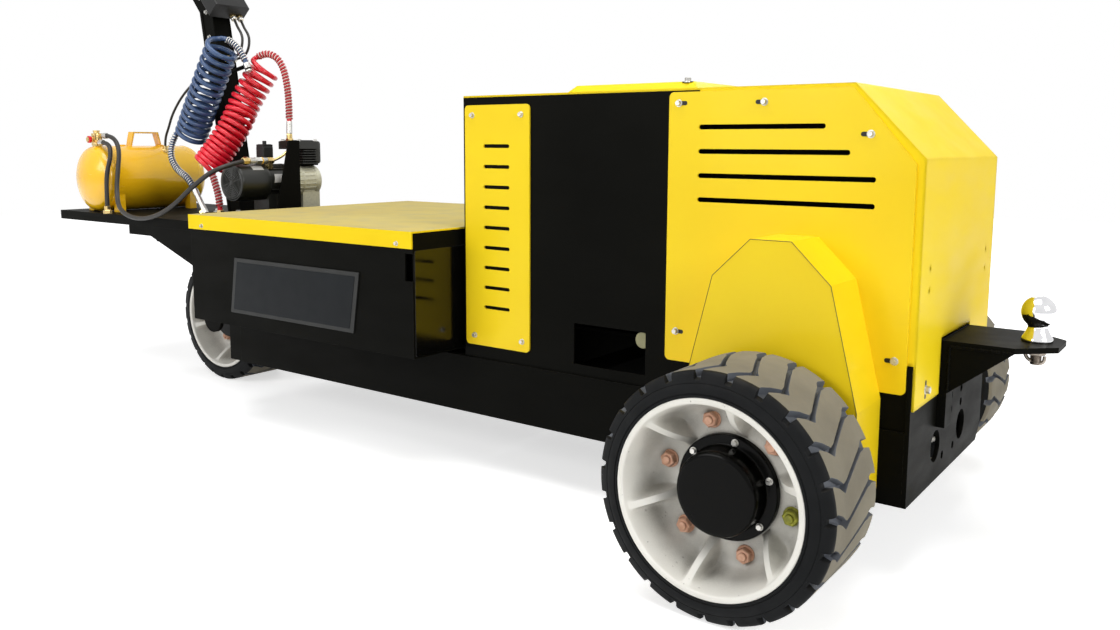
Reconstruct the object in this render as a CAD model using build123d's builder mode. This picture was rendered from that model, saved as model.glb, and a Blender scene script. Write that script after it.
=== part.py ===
from build123d import *
import os
from math import atan2, degrees, radians, tan

os.makedirs("parts", exist_ok=True)

# A battery driven three wheeled terminal tractor, in millimetres.
# +X points to the coupling, +Z up, and the near side of the machine is -Y.
# The origin lies on the floor at the middle of the machine's length and width.

# Driving dimensions of the whole machine
wheelbase = 1985
coupling_to_drive_axle = 394
tail_overhang = 657
drive_face_y = 594
wheel_radius = 203
wheel_width = 204
cabinet_width = 512
cabinet_length = 1007
cabinet_height = 853
coupling_to_cabinet = 185
battery_length = 834
battery_width = 816
deck_step = 39
battery_gap = 18
chassis_overhang = 4
chassis_under_axle = 69
chassis_over_axle = 63
platform_over_wheel = 117
platform_width = 512
coupling_top_z = 402
coupling_half_width = 96
tank_length = 415
tank_radius = 108

# Sizes shared by many pieces
sheet = 4
plate = 8
seat_gap = 0.3
overrun = 20

# Stations along X, worked out from the driving dimensions
overall_length = coupling_to_drive_axle + wheelbase + tail_overhang
nose_x = overall_length / 2
tail_x = -nose_x
drive_x = nose_x - coupling_to_drive_axle
steer_x = drive_x - wheelbase
cabinet_back_x = nose_x - coupling_to_cabinet
cabinet_front_x = cabinet_back_x - cabinet_length
battery_back_x = cabinet_front_x - battery_gap
battery_front_x = battery_back_x - battery_length

half_cabinet = cabinet_width / 2
half_battery = battery_width / 2
half_chassis = half_cabinet + chassis_overhang
half_platform = platform_width / 2

# Heights, which follow the wheels
platform_height = wheel_radius * 2 + platform_over_wheel
deck_height = platform_height + deck_step
chassis_base = wheel_radius - chassis_under_axle
chassis_top = wheel_radius + chassis_over_axle


def block(x, y, z, mode=Mode.ADD):
    """Adds or cuts a box between the two ends of each axis."""
    size = [abs(high - low) for low, high in (x, y, z)]
    middle = [(high + low) / 2 for low, high in (x, y, z)]
    with Locations(tuple(middle)):
        Box(*size, mode=mode)


def rod(start, end, radius, mode=Mode.ADD):
    """Adds or cuts a round bar between two points."""
    axis = Vector(*end) - Vector(*start)
    with BuildSketch(Plane(origin=start, z_dir=axis)) as section:
        Circle(radius)
    extrude(section.sketch, amount=axis.length, mode=mode)


def side_outline(points, y_low, y_high, mode=Mode.ADD):
    """Extrudes an outline of (x, z) points between two places on Y."""
    with BuildSketch(Plane.XZ.offset(-y_high)) as section:
        with BuildLine():
            Polyline(*points, close=True)
        make_face()
    extrude(section.sketch, amount=y_high - y_low, mode=mode)


def slot_cuts(centres, length, height, y_low, y_high):
    """Cuts slots with round ends through a panel, at (x, z) centres."""
    with BuildSketch(Plane.XZ.offset(-y_high)) as section:
        with Locations(*centres):
            SlotOverall(length, height)
    extrude(section.sketch, amount=y_high - y_low, mode=Mode.SUBTRACT)


def round_corners(piece, radius):
    """Rounds the corners of a flat panel that faces along Y."""
    with piece:
        fillet(piece.edges().filter_by(Axis.Y), radius)


def keep(piece, name):
    """Labels a finished piece and writes its file."""
    piece.part.label = name
    export_step(piece.part, f"parts/{name}.step")


# Chassis: two channel rails, four cross members and the rear plate
rail_flange = 60
member_width = 80
battery_floor_gap = 14
axle_tube_radius = 52
axle_tube_gap = 0.3
battery_floor_z = chassis_top + battery_floor_gap
member_stations = [
    (battery_front_x + member_width, battery_floor_z),
    (battery_front_x + battery_length / 2, battery_floor_z),
    (battery_back_x - member_width, battery_floor_z),
    (drive_x - cabinet_length / 2, chassis_top),
]

with BuildPart() as chassis_frame:
    for side in (-1, 1):
        outer = side * half_chassis
        inner = outer - side * plate
        flange = outer - side * rail_flange
        rail_x = (battery_front_x, cabinet_back_x - plate)
        block(rail_x, (inner, outer), (chassis_base, chassis_top))
        block(rail_x, (flange, outer), (chassis_base, chassis_base + plate))
        block(rail_x, (flange, outer), (chassis_top - plate, chassis_top))
    for station, member_top in member_stations:
        member_x = (station - member_width / 2, station + member_width / 2)
        block(member_x, (-half_chassis + plate, half_chassis - plate), (chassis_base, member_top))
    rod(
        (drive_x, -half_chassis - overrun, wheel_radius),
        (drive_x, half_chassis + overrun, wheel_radius),
        axle_tube_radius + axle_tube_gap,
        Mode.SUBTRACT,
    )
keep(chassis_frame, "chassis_frame")

# Rear plate: closes the frame under the coupling, with tie down holes
tie_hole_radius = 30
tie_hole_half_pitch = 90
tie_hole_rise = 68
small_hole_radius = 8
small_hole_y = 38
small_hole_rise = 38
upper_hole_y = (12, 84)
upper_hole_rise = (115, 143)
rear_plate_drop = 22
rear_plate_corner = 30
rear_plate_top = coupling_top_z - rear_plate_drop

with BuildPart() as rear_plate:
    block(
        (cabinet_back_x - plate, cabinet_back_x),
        (-half_chassis, half_chassis),
        (chassis_base, rear_plate_top),
    )
    far_lower_edge = rear_plate.edges().filter_by(Axis.X).group_by(Axis.Z)[0].sort_by(Axis.Y)[-1]
    chamfer(far_lower_edge, rear_plate_corner)
    with Locations(Plane(origin=(cabinet_back_x, 0, 0), z_dir=(1, 0, 0), x_dir=(0, 1, 0))):
        with Locations(
            (-tie_hole_half_pitch, chassis_base + tie_hole_rise),
            (tie_hole_half_pitch, chassis_base + tie_hole_rise),
        ):
            Hole(tie_hole_radius, overrun)
        small_hole_z = chassis_base + small_hole_rise
        with Locations((-small_hole_y, small_hole_z), (small_hole_y, small_hole_z)):
            Hole(small_hole_radius, overrun)
        with Locations(
            *[(hole_y, chassis_base + rise) for hole_y in upper_hole_y for rise in upper_hole_rise]
        ):
            Hole(small_hole_radius, overrun)
keep(rear_plate, "rear_plate")

# Cabinet shell: black sheet walls in front of the drive end, open below, with a bulkhead and a liner
# behind the louvres
side_panel_rise = 65
side_panel_front_back = 477
side_panel_front_x = cabinet_back_x - side_panel_front_back
window_rise = 23
window_height = 88
window_start = 307
window_length = 176
shell_overlap = 63
sill_overlap = 24
bulkhead_gap = 56.5
liner_inset = 56
liner_length = 310
liner_height = 260
liner_top_gap = 33
gear_case_radius = 105
motor_radius = 88

side_panel_low_z = chassis_top + side_panel_rise
window_low_z = chassis_top + window_rise
window_front_x = cabinet_front_x + window_start
motor_axis_z = wheel_radius + gear_case_radius / 2
bulkhead_low_z = motor_axis_z + motor_radius + bulkhead_gap

with BuildPart() as cabinet_shell:
    shell_back_x = side_panel_front_x + shell_overlap
    block(
        (cabinet_front_x, shell_back_x),
        (-half_cabinet, half_cabinet),
        (chassis_top, cabinet_height),
    )
    block(
        (cabinet_front_x + sheet, shell_back_x + overrun),
        (-half_cabinet + sheet, half_cabinet - sheet),
        (chassis_top - overrun, cabinet_height - sheet),
        Mode.SUBTRACT,
    )
    block(
        (shell_back_x - sheet, shell_back_x),
        (-half_cabinet, half_cabinet),
        (bulkhead_low_z, cabinet_height),
    )
    liner_half = half_cabinet - liner_inset
    liner_top_z = cabinet_height - liner_top_gap
    liner_low_z = liner_top_z - liner_height
    block(
        (shell_back_x, shell_back_x + liner_length),
        (-liner_half, liner_half),
        (liner_low_z, liner_top_z),
    )
    block(
        (shell_back_x, shell_back_x + liner_length - sheet),
        (-liner_half + sheet, liner_half - sheet),
        (liner_low_z - overrun, liner_top_z - sheet),
        Mode.SUBTRACT,
    )
    for side in (-1, 1):
        outer = side * half_cabinet
        inner = outer - side * sheet
        block(
            (shell_back_x, cabinet_back_x - plate),
            (inner, outer),
            (chassis_top, side_panel_low_z + sill_overlap),
        )
        block(
            (window_front_x, window_front_x + window_length),
            (inner - side * overrun, outer + side * overrun),
            (window_low_z, window_low_z + window_height),
            Mode.SUBTRACT,
        )
keep(cabinet_shell, "cabinet_shell")

# Narrow slotted panels on both sides of the cabinet
vent_inset = 7
vent_length = 183
vent_rise = 31
vent_top_gap = 17
vent_slot_count = 9
vent_slot_length = 74
vent_slot_height = 8
vent_slot_pitch = 45
vent_slot_top_drop = 106.5
vent_slot_offset = 54
panel_corner_radius = 10

with BuildPart() as vent_panels:
    for side in (-1, 1):
        panel_x = cabinet_front_x + vent_inset
        face = side * half_cabinet
        block(
            (panel_x, panel_x + vent_length),
            (face, face + side * sheet),
            (chassis_top + vent_rise, cabinet_height - vent_top_gap),
        )
round_corners(vent_panels, panel_corner_radius)
with vent_panels:
    slot_x = panel_x + vent_slot_offset + vent_slot_length / 2
    slot_top_z = cabinet_height - vent_slot_top_drop
    centres = [(slot_x, slot_top_z - row * vent_slot_pitch) for row in range(vent_slot_count)]
    slot_cuts(centres, vent_slot_length, vent_slot_height, -half_cabinet - overrun, half_cabinet + overrun)
keep(vent_panels, "vent_panels")

# Large side panels with four louvre slots and a cut corner
side_panel_back_gap = 10
side_panel_top_gap = 3
side_panel_corner_drop = 132
side_corner_start = 356
louvre_start = 64
louvre_top_drop = 69
louvre_pitch = 45.3
louvre_height = 9
louvre_lengths = [246, 291, 337, 337]

side_panel_high_z = cabinet_height - side_panel_top_gap
side_corner_z = cabinet_height - side_panel_corner_drop
corner_x = side_panel_front_x + side_corner_start
side_back_x = cabinet_back_x - side_panel_back_gap

with BuildPart() as side_panels:
    for side in (-1, 1):
        face = side * half_cabinet
        low_y, high_y = sorted((face, face + side * sheet))
        side_outline(
            [
                (side_panel_front_x, side_panel_low_z),
                (side_back_x, side_panel_low_z),
                (side_back_x, side_corner_z),
                (corner_x, side_panel_high_z),
                (side_panel_front_x, side_panel_high_z),
            ],
            low_y,
            high_y,
        )
round_corners(side_panels, panel_corner_radius)
with side_panels:
    for row, length in enumerate(louvre_lengths):
        slot_x = side_panel_front_x + louvre_start + length / 2
        slot_z = cabinet_height - louvre_top_drop - row * louvre_pitch
        slot_cuts([(slot_x, slot_z)], length, louvre_height, -half_cabinet - overrun, half_cabinet + overrun)
keep(side_panels, "side_panels")

# Axle covers: half octagon boxes that stand out from the side panels
cover_wheel_gap = 10
cover_top_rise = 389
cover_shoulder_rise = 321
cover_waist_rise = 117
cover_base_drop = 43
cover_top_half = 37
cover_shoulder_half = 107
cover_waist_half = 158
cover_hole_radius = 100

cover_face_y = half_cabinet + sheet
cover_end_y = drive_face_y - wheel_width - cover_wheel_gap
cover_top_z = wheel_radius + cover_top_rise
cover_shoulder_z = wheel_radius + cover_shoulder_rise
cover_waist_z = wheel_radius + cover_waist_rise
cover_base_z = wheel_radius - cover_base_drop

halves = [
    (cover_top_half, cover_top_z),
    (cover_shoulder_half, cover_shoulder_z),
    (cover_waist_half, cover_waist_z),
    (cover_waist_half, cover_base_z),
]
inner_halves = [
    (cover_top_half - sheet / 2, cover_top_z - sheet),
    (cover_shoulder_half - sheet, cover_shoulder_z - sheet / 2),
    (cover_waist_half - sheet, cover_waist_z - sheet / 2),
    (cover_waist_half - sheet, cover_base_z - overrun),
]


def both_halves(points):
    """Turns (half width, z) points into an outline on both sides of the drive axle."""
    behind = [(drive_x + half, z) for half, z in points]
    ahead = [(drive_x - half, z) for half, z in reversed(points)]
    return behind + ahead


with BuildPart() as axle_covers:
    for side in (-1, 1):
        face = side * cover_face_y
        low_y, high_y = sorted((face, side * cover_end_y))
        side_outline(both_halves(halves), low_y, high_y)
        low_y, high_y = sorted((face, side * (cover_end_y - sheet)))
        side_outline(both_halves(inner_halves), low_y, high_y, Mode.SUBTRACT)
        rod(
            (drive_x, face, wheel_radius),
            (drive_x, side * (cover_end_y + overrun), wheel_radius),
            cover_hole_radius,
            Mode.SUBTRACT,
        )
keep(axle_covers, "axle_covers")

# Hood: one bent sheet over the drive end, with a return flange on each side and a notch for the coupling
hood_flange = 30
hood_overlap = 76
hood_sill_gap = 27
hood_notch_gap = 6
hood_hole_radius = 4
hood_hole_y = 200
hood_hole_drops = (222, 184)
hood_edge_drop = 126
hood_top_z = cabinet_height + sheet
hood_back_x = cabinet_back_x + sheet
hood_edge_z = cabinet_height - hood_edge_drop
hood_low_z = rear_plate_top - hood_overlap
hood_flange_low_z = side_panel_low_z + sill_overlap + hood_sill_gap

with BuildPart() as hood:
    hood_front_x = side_panel_front_x + shell_overlap
    outer_outline = [
        (hood_back_x, hood_low_z),
        (hood_back_x, hood_edge_z + sheet / 2),
        (corner_x + sheet / 2, hood_top_z),
        (hood_front_x, hood_top_z),
    ]
    inner_outline = [
        (hood_front_x, hood_top_z - sheet),
        (corner_x, hood_top_z - sheet),
        (cabinet_back_x, hood_edge_z),
        (cabinet_back_x, hood_low_z),
    ]
    side_outline(outer_outline + inner_outline, -half_cabinet, half_cabinet)
    notch_half = coupling_half_width + hood_notch_gap
    block(
        (cabinet_back_x - overrun, hood_back_x + overrun),
        (-notch_half, notch_half),
        (hood_low_z - overrun, coupling_top_z + hood_notch_gap),
        Mode.SUBTRACT,
    )
    with Locations(Plane(origin=(hood_back_x, 0, 0), z_dir=(1, 0, 0), x_dir=(0, 1, 0))):
        with Locations(
            *[(side * hood_hole_y, hood_edge_z - drop) for side in (-1, 1) for drop in hood_hole_drops]
        ):
            Hole(hood_hole_radius, overrun)
    flange_outline = [
        (cabinet_back_x, hood_flange_low_z),
        (cabinet_back_x, hood_edge_z),
        (corner_x, hood_top_z - sheet),
        (hood_front_x, hood_top_z - sheet),
        (hood_front_x, hood_top_z - hood_flange),
        (corner_x - hood_flange / 2, hood_top_z - hood_flange),
        (cabinet_back_x - hood_flange, hood_edge_z - hood_flange / 2),
        (cabinet_back_x - hood_flange, hood_flange_low_z),
    ]
    for side in (-1, 1):
        low_y, high_y = sorted((side * half_cabinet, side * (half_cabinet - sheet)))
        side_outline(flange_outline, low_y, high_y)
keep(hood, "hood")

# Top cover: a flat lid over the cabinet roof with a shallow raised part
roof_cover_start = 283
roof_cover_length = 300
roof_cover_rise = 14
roof_cover_half = 250
roof_cover_slope = 45

with BuildPart() as roof_cover:
    roof_x = cabinet_front_x + roof_cover_start
    block(
        (cabinet_front_x, side_panel_front_x + shell_overlap),
        (-half_cabinet, half_cabinet),
        (cabinet_height, cabinet_height + sheet),
    )
    with BuildSketch(Plane.XY.offset(cabinet_height + sheet)):
        with Locations((roof_x + roof_cover_length / 2, 0)):
            Rectangle(roof_cover_length, roof_cover_half * 2)
    extrude(amount=roof_cover_rise, taper=roof_cover_slope)
keep(roof_cover, "roof_cover")

# Drive axle: a tube across the frame, a gear case at its middle and a stub at each end
gear_case_half = 110
stub_radius = 20
hub_depth = 110
hub_inner_gap = 5
stub_end_inset = 56
stub_tip_y = drive_face_y - stub_end_inset
tube_end_y = drive_face_y - hub_depth - hub_inner_gap

with BuildPart() as drive_axle:
    rod((drive_x, -tube_end_y, wheel_radius), (drive_x, tube_end_y, wheel_radius), axle_tube_radius)
    rod((drive_x, -stub_tip_y, wheel_radius), (drive_x, stub_tip_y, wheel_radius), stub_radius)
    rod(
        (drive_x, -gear_case_half, wheel_radius),
        (drive_x, gear_case_half, wheel_radius),
        gear_case_radius,
    )
keep(drive_axle, "drive_axle")

# Drive motor: one plain block for the motor, in front of the gear case
motor_length = 300

with BuildPart() as drive_motor:
    motor_end_x = drive_x - gear_case_radius
    rod(
        (motor_end_x - motor_length, 0, motor_axis_z),
        (motor_end_x, 0, motor_axis_z),
        motor_radius,
    )
keep(drive_motor, "drive_motor")

# Wheels: solid tyre, cast rim with ribs, hub with a cap
rim_radius = 162
rim_wall = 11
web_inset = 84
web_thickness = 14
hub_radius = 70
hub_flange_radius = 88
hub_flange_thickness = 12
hub_cap_inset = 29
rib_count = 6
rib_start = 43
rib_thickness = 12
tread_half_share = 0.86
shoulder_drop = 7
running_gap = 0.05


def wheel_profile(points, origin_x, middle_y, outward):
    """Revolves (radius, distance in from the outer face) points about the wheel's axle."""
    face_y = middle_y + outward * wheel_width / 2
    with BuildSketch(Plane.XY.offset(wheel_radius)) as section:
        with BuildLine():
            Polyline(
                *[(origin_x + radius, face_y - outward * inset) for radius, inset in points],
                close=True,
            )
        make_face()
    revolve(section.sketch, axis=Axis((origin_x, 0, wheel_radius), (0, 1, 0)))


def make_wheel(name, origin_x, middle_y, outward, bore_radius, blind):
    """Makes a wheel's tyre, rim and hub. Outward is the sign of Y that its face looks to."""
    face_y = middle_y + outward * wheel_width / 2
    shoulder = wheel_width * (1 - tread_half_share) / 2
    side_radius = wheel_radius - shoulder_drop
    with BuildPart() as tyre:
        wheel_profile(
            [
                (rim_radius + seat_gap, 0),
                (side_radius, shoulder / 2),
                (wheel_radius, shoulder),
                (wheel_radius, wheel_width - shoulder),
                (side_radius, wheel_width - shoulder / 2),
                (rim_radius + seat_gap, wheel_width),
            ],
            origin_x,
            middle_y,
            outward,
        )
    keep(tyre, f"{name}_tyre")
    with BuildPart() as rim:
        barrel = rim_radius - rim_wall
        wheel_profile(
            [
                (rim_radius, 0),
                (rim_radius, wheel_width),
                (barrel, wheel_width),
                (barrel, web_inset + web_thickness),
                (hub_radius + seat_gap, web_inset + web_thickness),
                (hub_radius + seat_gap, web_inset),
                (barrel, web_inset),
                (barrel, 0),
            ],
            origin_x,
            middle_y,
            outward,
        )
        web_y = face_y - outward * web_inset
        lip_y = face_y - outward * rim_wall
        with BuildSketch(Plane(origin=(origin_x, middle_y, wheel_radius), z_dir=(0, 0, 1))) as rib:
            with BuildLine():
                Polyline(
                    (hub_flange_radius + seat_gap, web_y - middle_y),
                    (barrel + seat_gap, web_y - middle_y),
                    (barrel + seat_gap, lip_y - middle_y),
                    close=True,
                )
            make_face()
        ribs = extrude(rib.sketch, amount=rib_thickness / 2, both=True, mode=Mode.PRIVATE)
        rib_axis = Axis((origin_x, 0, wheel_radius), (0, 1, 0))
        for step in range(rib_count):
            add(ribs.rotate(rib_axis, rib_start + step * 360 / rib_count))
    keep(rim, f"{name}_rim")
    with BuildPart() as hub:
        hub_points = [
            (0, hub_cap_inset),
            (hub_radius, hub_cap_inset),
            (hub_radius, web_inset - hub_flange_thickness),
            (hub_flange_radius, web_inset - hub_flange_thickness),
            (hub_flange_radius, web_inset),
            (hub_radius, web_inset),
            (hub_radius, hub_depth),
        ]
        if blind:
            hub_points += [
                (bore_radius, hub_depth),
                (bore_radius, stub_end_inset - hub_inner_gap),
                (0, stub_end_inset - hub_inner_gap),
            ]
        else:
            hub_points = [(bore_radius, hub_cap_inset)] + hub_points[1:] + [(bore_radius, hub_depth)]
        wheel_profile(hub_points, origin_x, middle_y, outward)
    keep(hub, f"{name}_hub")


drive_middle_y = drive_face_y - wheel_width / 2
make_wheel("near_wheel", drive_x, -drive_middle_y, -1, stub_radius + running_gap, True)
make_wheel("far_wheel", drive_x, drive_middle_y, 1, stub_radius + running_gap, True)

# Steered wheel under the platform, in its fork
fork_pin_radius = 17
fork_leg = 12
fork_leg_gap = 12
fork_leg_width = 90
fork_crown = 24
fork_tyre_gap = 14
fork_crown_width = 150
kingpin_radius = 30
kingpin_height = 36

make_wheel("steer_wheel", steer_x, 0, -1, fork_pin_radius + running_gap, False)

leg_inner_y = wheel_width / 2 + fork_leg_gap
crown_low_z = wheel_radius * 2 + fork_tyre_gap
crown_high_z = crown_low_z + fork_crown

with BuildPart() as steer_fork:
    crown_x = (steer_x - fork_crown_width / 2, steer_x + fork_crown_width / 2)
    leg_x = (steer_x - fork_leg_width / 2, steer_x + fork_leg_width / 2)
    block(crown_x, (-leg_inner_y - fork_leg, leg_inner_y + fork_leg), (crown_low_z, crown_high_z))
    for side in (-1, 1):
        block(leg_x, (side * leg_inner_y, side * (leg_inner_y + fork_leg)), (wheel_radius, crown_high_z))
        rod(
            (steer_x, side * leg_inner_y, wheel_radius),
            (steer_x, side * (leg_inner_y + fork_leg), wheel_radius),
            fork_leg_width / 2,
        )
    rod(
        (steer_x, -leg_inner_y - fork_leg, wheel_radius),
        (steer_x, leg_inner_y + fork_leg, wheel_radius),
        fork_pin_radius,
    )
    rod((steer_x, 0, crown_high_z), (steer_x, 0, crown_high_z + kingpin_height), kingpin_radius)
keep(steer_fork, "steer_fork")

# Gooseneck: side plates that carry the platform over the steered wheel, with the kingpin beam
platform_lip = 29
neck_front_run = 230
neck_front_drop = 57
neck_slope_run = 109
neck_back_run = 112
neck_foot_drop = 133
neck_leg_length = 56
beam_half_length = 90
beam_low_gap = 6
bearing_gap = 0.05

platform_low_z = platform_height - platform_lip
neck_front_z = platform_height - neck_front_drop
neck_foot_z = platform_height - neck_foot_drop
neck_front_x = steer_x - neck_front_run
neck_end_x = battery_front_x + sheet
neck_leg_x = battery_front_x - neck_leg_length

with BuildPart() as gooseneck:
    neck_outline = [
        (neck_front_x, platform_low_z),
        (neck_front_x, neck_front_z),
        (steer_x - neck_slope_run, neck_front_z),
        (steer_x + neck_back_run, neck_foot_z),
        (neck_leg_x, neck_foot_z),
        (neck_leg_x, chassis_base),
        (battery_front_x, chassis_base),
        (battery_front_x, chassis_top),
        (neck_end_x, chassis_top),
        (neck_end_x, platform_low_z),
    ]
    for side in (-1, 1):
        low_y, high_y = sorted((side * half_platform, side * (half_platform - plate)))
        side_outline(neck_outline, low_y, high_y)
    inner_y = (-half_platform + plate, half_platform - plate)
    block((neck_leg_x, neck_leg_x + plate), inner_y, (chassis_base, platform_low_z))
    block((neck_front_x, neck_front_x + plate), inner_y, (neck_front_z, platform_low_z))
    beam_x = (steer_x - beam_half_length, steer_x + beam_half_length)
    block(beam_x, inner_y, (crown_high_z + beam_low_gap, platform_low_z))
    rod(
        (steer_x, 0, crown_high_z - overrun),
        (steer_x, 0, platform_low_z + overrun),
        kingpin_radius + bearing_gap,
        Mode.SUBTRACT,
    )
keep(gooseneck, "gooseneck")

# Platform: a tray with its lip turned down, over the steered wheel
platform_sheet = 6

with BuildPart() as platform:
    block((tail_x, neck_end_x), (-half_platform, half_platform), (platform_low_z, platform_height))
    block(
        (tail_x + platform_sheet, neck_end_x + overrun),
        (-half_platform + platform_sheet, half_platform - platform_sheet),
        (platform_low_z - overrun, platform_height - platform_sheet),
        Mode.SUBTRACT,
    )
keep(platform, "platform")

# Battery box with its lid, the battery inside it and a blank sign on each side
battery_margin = 36
notch_length = 24
notch_drop = 49
notch_height = 61
battery_fill_share = 0.86
box_top_z = deck_height - sheet
box_half = half_battery - sheet
notch_high_z = deck_height - notch_drop
box_x = (battery_front_x + sheet, battery_back_x)

with BuildPart() as battery_box:
    block(box_x, (-box_half, box_half), (battery_floor_z, box_top_z))
    block(
        (box_x[0] + sheet, box_x[1] - sheet),
        (-box_half + sheet, box_half - sheet),
        (battery_floor_z + sheet, box_top_z + overrun),
        Mode.SUBTRACT,
    )
    block(
        (battery_back_x - notch_length, battery_back_x + overrun),
        (-box_half - overrun, -box_half + sheet),
        (notch_high_z - notch_height, notch_high_z),
        Mode.SUBTRACT,
    )
keep(battery_box, "battery_box")

deck_lip = 38

with BuildPart() as deck_lid:
    lid_x = (battery_front_x, battery_back_x)
    block(lid_x, (-half_battery, half_battery), (deck_height - deck_lip, deck_height))
    block(
        (battery_front_x + sheet, battery_back_x + overrun),
        (-box_half, box_half),
        (deck_height - deck_lip - overrun, box_top_z),
        Mode.SUBTRACT,
    )
keep(deck_lid, "deck_lid")

battery_pack_height = (box_top_z - battery_floor_z) * battery_fill_share

with BuildPart() as battery_pack:
    block(
        (box_x[0] + battery_margin, box_x[1] - battery_margin),
        (-box_half + battery_margin, box_half - battery_margin),
        (battery_floor_z + sheet, battery_floor_z + sheet + battery_pack_height),
    )
keep(battery_pack, "battery_pack")

sign_sheet = 3
sign_top_drop = 103
sign_base_drop = 246
sign_top_start = 197
sign_base_start = 174
sign_length = 467

with BuildPart() as sign_plates:
    for side in (-1, 1):
        low_y, high_y = sorted((side * box_half, side * (box_half + sign_sheet)))
        side_outline(
            [
                (battery_front_x + sign_base_start, deck_height - sign_base_drop),
                (battery_front_x + sign_base_start + sign_length, deck_height - sign_base_drop),
                (battery_front_x + sign_top_start + sign_length, deck_height - sign_top_drop),
                (battery_front_x + sign_top_start, deck_height - sign_top_drop),
            ],
            low_y,
            high_y,
        )
keep(sign_plates, "sign_plates")

# Coupling: top plate, side gussets and mounting plate, with a tow ball
coupling_plate = 10
coupling_tip_half = 40
coupling_tip_run = 60
coupling_mount = 16
coupling_mount_height = 97
coupling_leg_width = 44
coupling_leg_length = 65
ball_radius = 29.4
ball_from_nose = 42
ball_rise = 54
ball_neck_radius = 16
ball_neck_rise = 29
ball_flange_radius = 26
ball_flange_height = 7
ball_shank_radius = 9.5
ball_nut_radius = 16
ball_nut_height = 14
ball_shank_length = 42
coupling_bore_gap = 0.3

ball_x = nose_x - ball_from_nose
coupling_mount_low_z = coupling_top_z - coupling_mount_height

with BuildPart() as coupling:
    mount_x = cabinet_back_x + coupling_mount
    with BuildSketch(Plane.XY.offset(coupling_top_z - coupling_plate)):
        with BuildLine():
            Polyline(
                (mount_x, -coupling_half_width),
                (nose_x - coupling_tip_run, -coupling_half_width),
                (nose_x, -coupling_tip_half),
                (nose_x, coupling_tip_half),
                (nose_x - coupling_tip_run, coupling_half_width),
                (mount_x, coupling_half_width),
                close=True,
            )
        make_face()
    extrude(amount=coupling_plate)
    block(
        (cabinet_back_x, mount_x),
        (-coupling_half_width, coupling_half_width),
        (coupling_mount_low_z, coupling_top_z),
    )
    block(
        (cabinet_back_x, mount_x),
        (-coupling_half_width, -coupling_half_width + coupling_leg_width),
        (coupling_mount_low_z - coupling_leg_length, coupling_mount_low_z),
    )
    gusset_outline = [
        (mount_x, coupling_top_z - coupling_plate),
        (nose_x - coupling_tip_run, coupling_top_z - coupling_plate),
        (mount_x, coupling_mount_low_z),
    ]
    for side in (-1, 1):
        low_y, high_y = sorted((side * coupling_half_width, side * (coupling_half_width - coupling_plate)))
        side_outline(gusset_outline, low_y, high_y)
    rod(
        (ball_x, 0, coupling_top_z - overrun),
        (ball_x, 0, coupling_top_z + overrun),
        ball_shank_radius + coupling_bore_gap,
        Mode.SUBTRACT,
    )
keep(coupling, "coupling")

with BuildPart() as tow_ball:
    nut_high_z = coupling_top_z - coupling_plate
    flange_top_z = coupling_top_z + ball_flange_height
    rod((ball_x, 0, coupling_top_z), (ball_x, 0, flange_top_z), ball_flange_radius)
    with Locations((ball_x, 0, flange_top_z)):
        Cone(
            ball_flange_radius,
            ball_neck_radius,
            ball_neck_rise - ball_flange_height,
            align=(Align.CENTER, Align.CENTER, Align.MIN),
        )
    with Locations((ball_x, 0, coupling_top_z + ball_rise)):
        Sphere(ball_radius)
    rod(
        (ball_x, 0, coupling_top_z - ball_shank_length),
        (ball_x, 0, coupling_top_z + overrun),
        ball_shank_radius,
    )
    rod((ball_x, 0, nut_high_z - ball_nut_height), (ball_x, 0, nut_high_z), ball_nut_radius)
keep(tow_ball, "tow_ball")

# Air tank across the platform, with domed ends, two feet and a handle
tank_from_tail = 173
tank_middle_y = -55
tank_rise = 110
tank_head_depth = 54
tank_knuckle_radius = 34
tank_foot_reach = 80
tank_foot_length = 30
tank_foot_width = 24
tank_foot_inset = 77
tank_foot_height = 60
handle_half = 46
handle_foot_half = 58
handle_shift = 12
handle_rise = 47
handle_strip = 30
handle_sheet = 5

tank_x = tail_x + tank_from_tail
tank_z = platform_height + tank_rise
tank_top_z = tank_z + tank_radius

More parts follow.
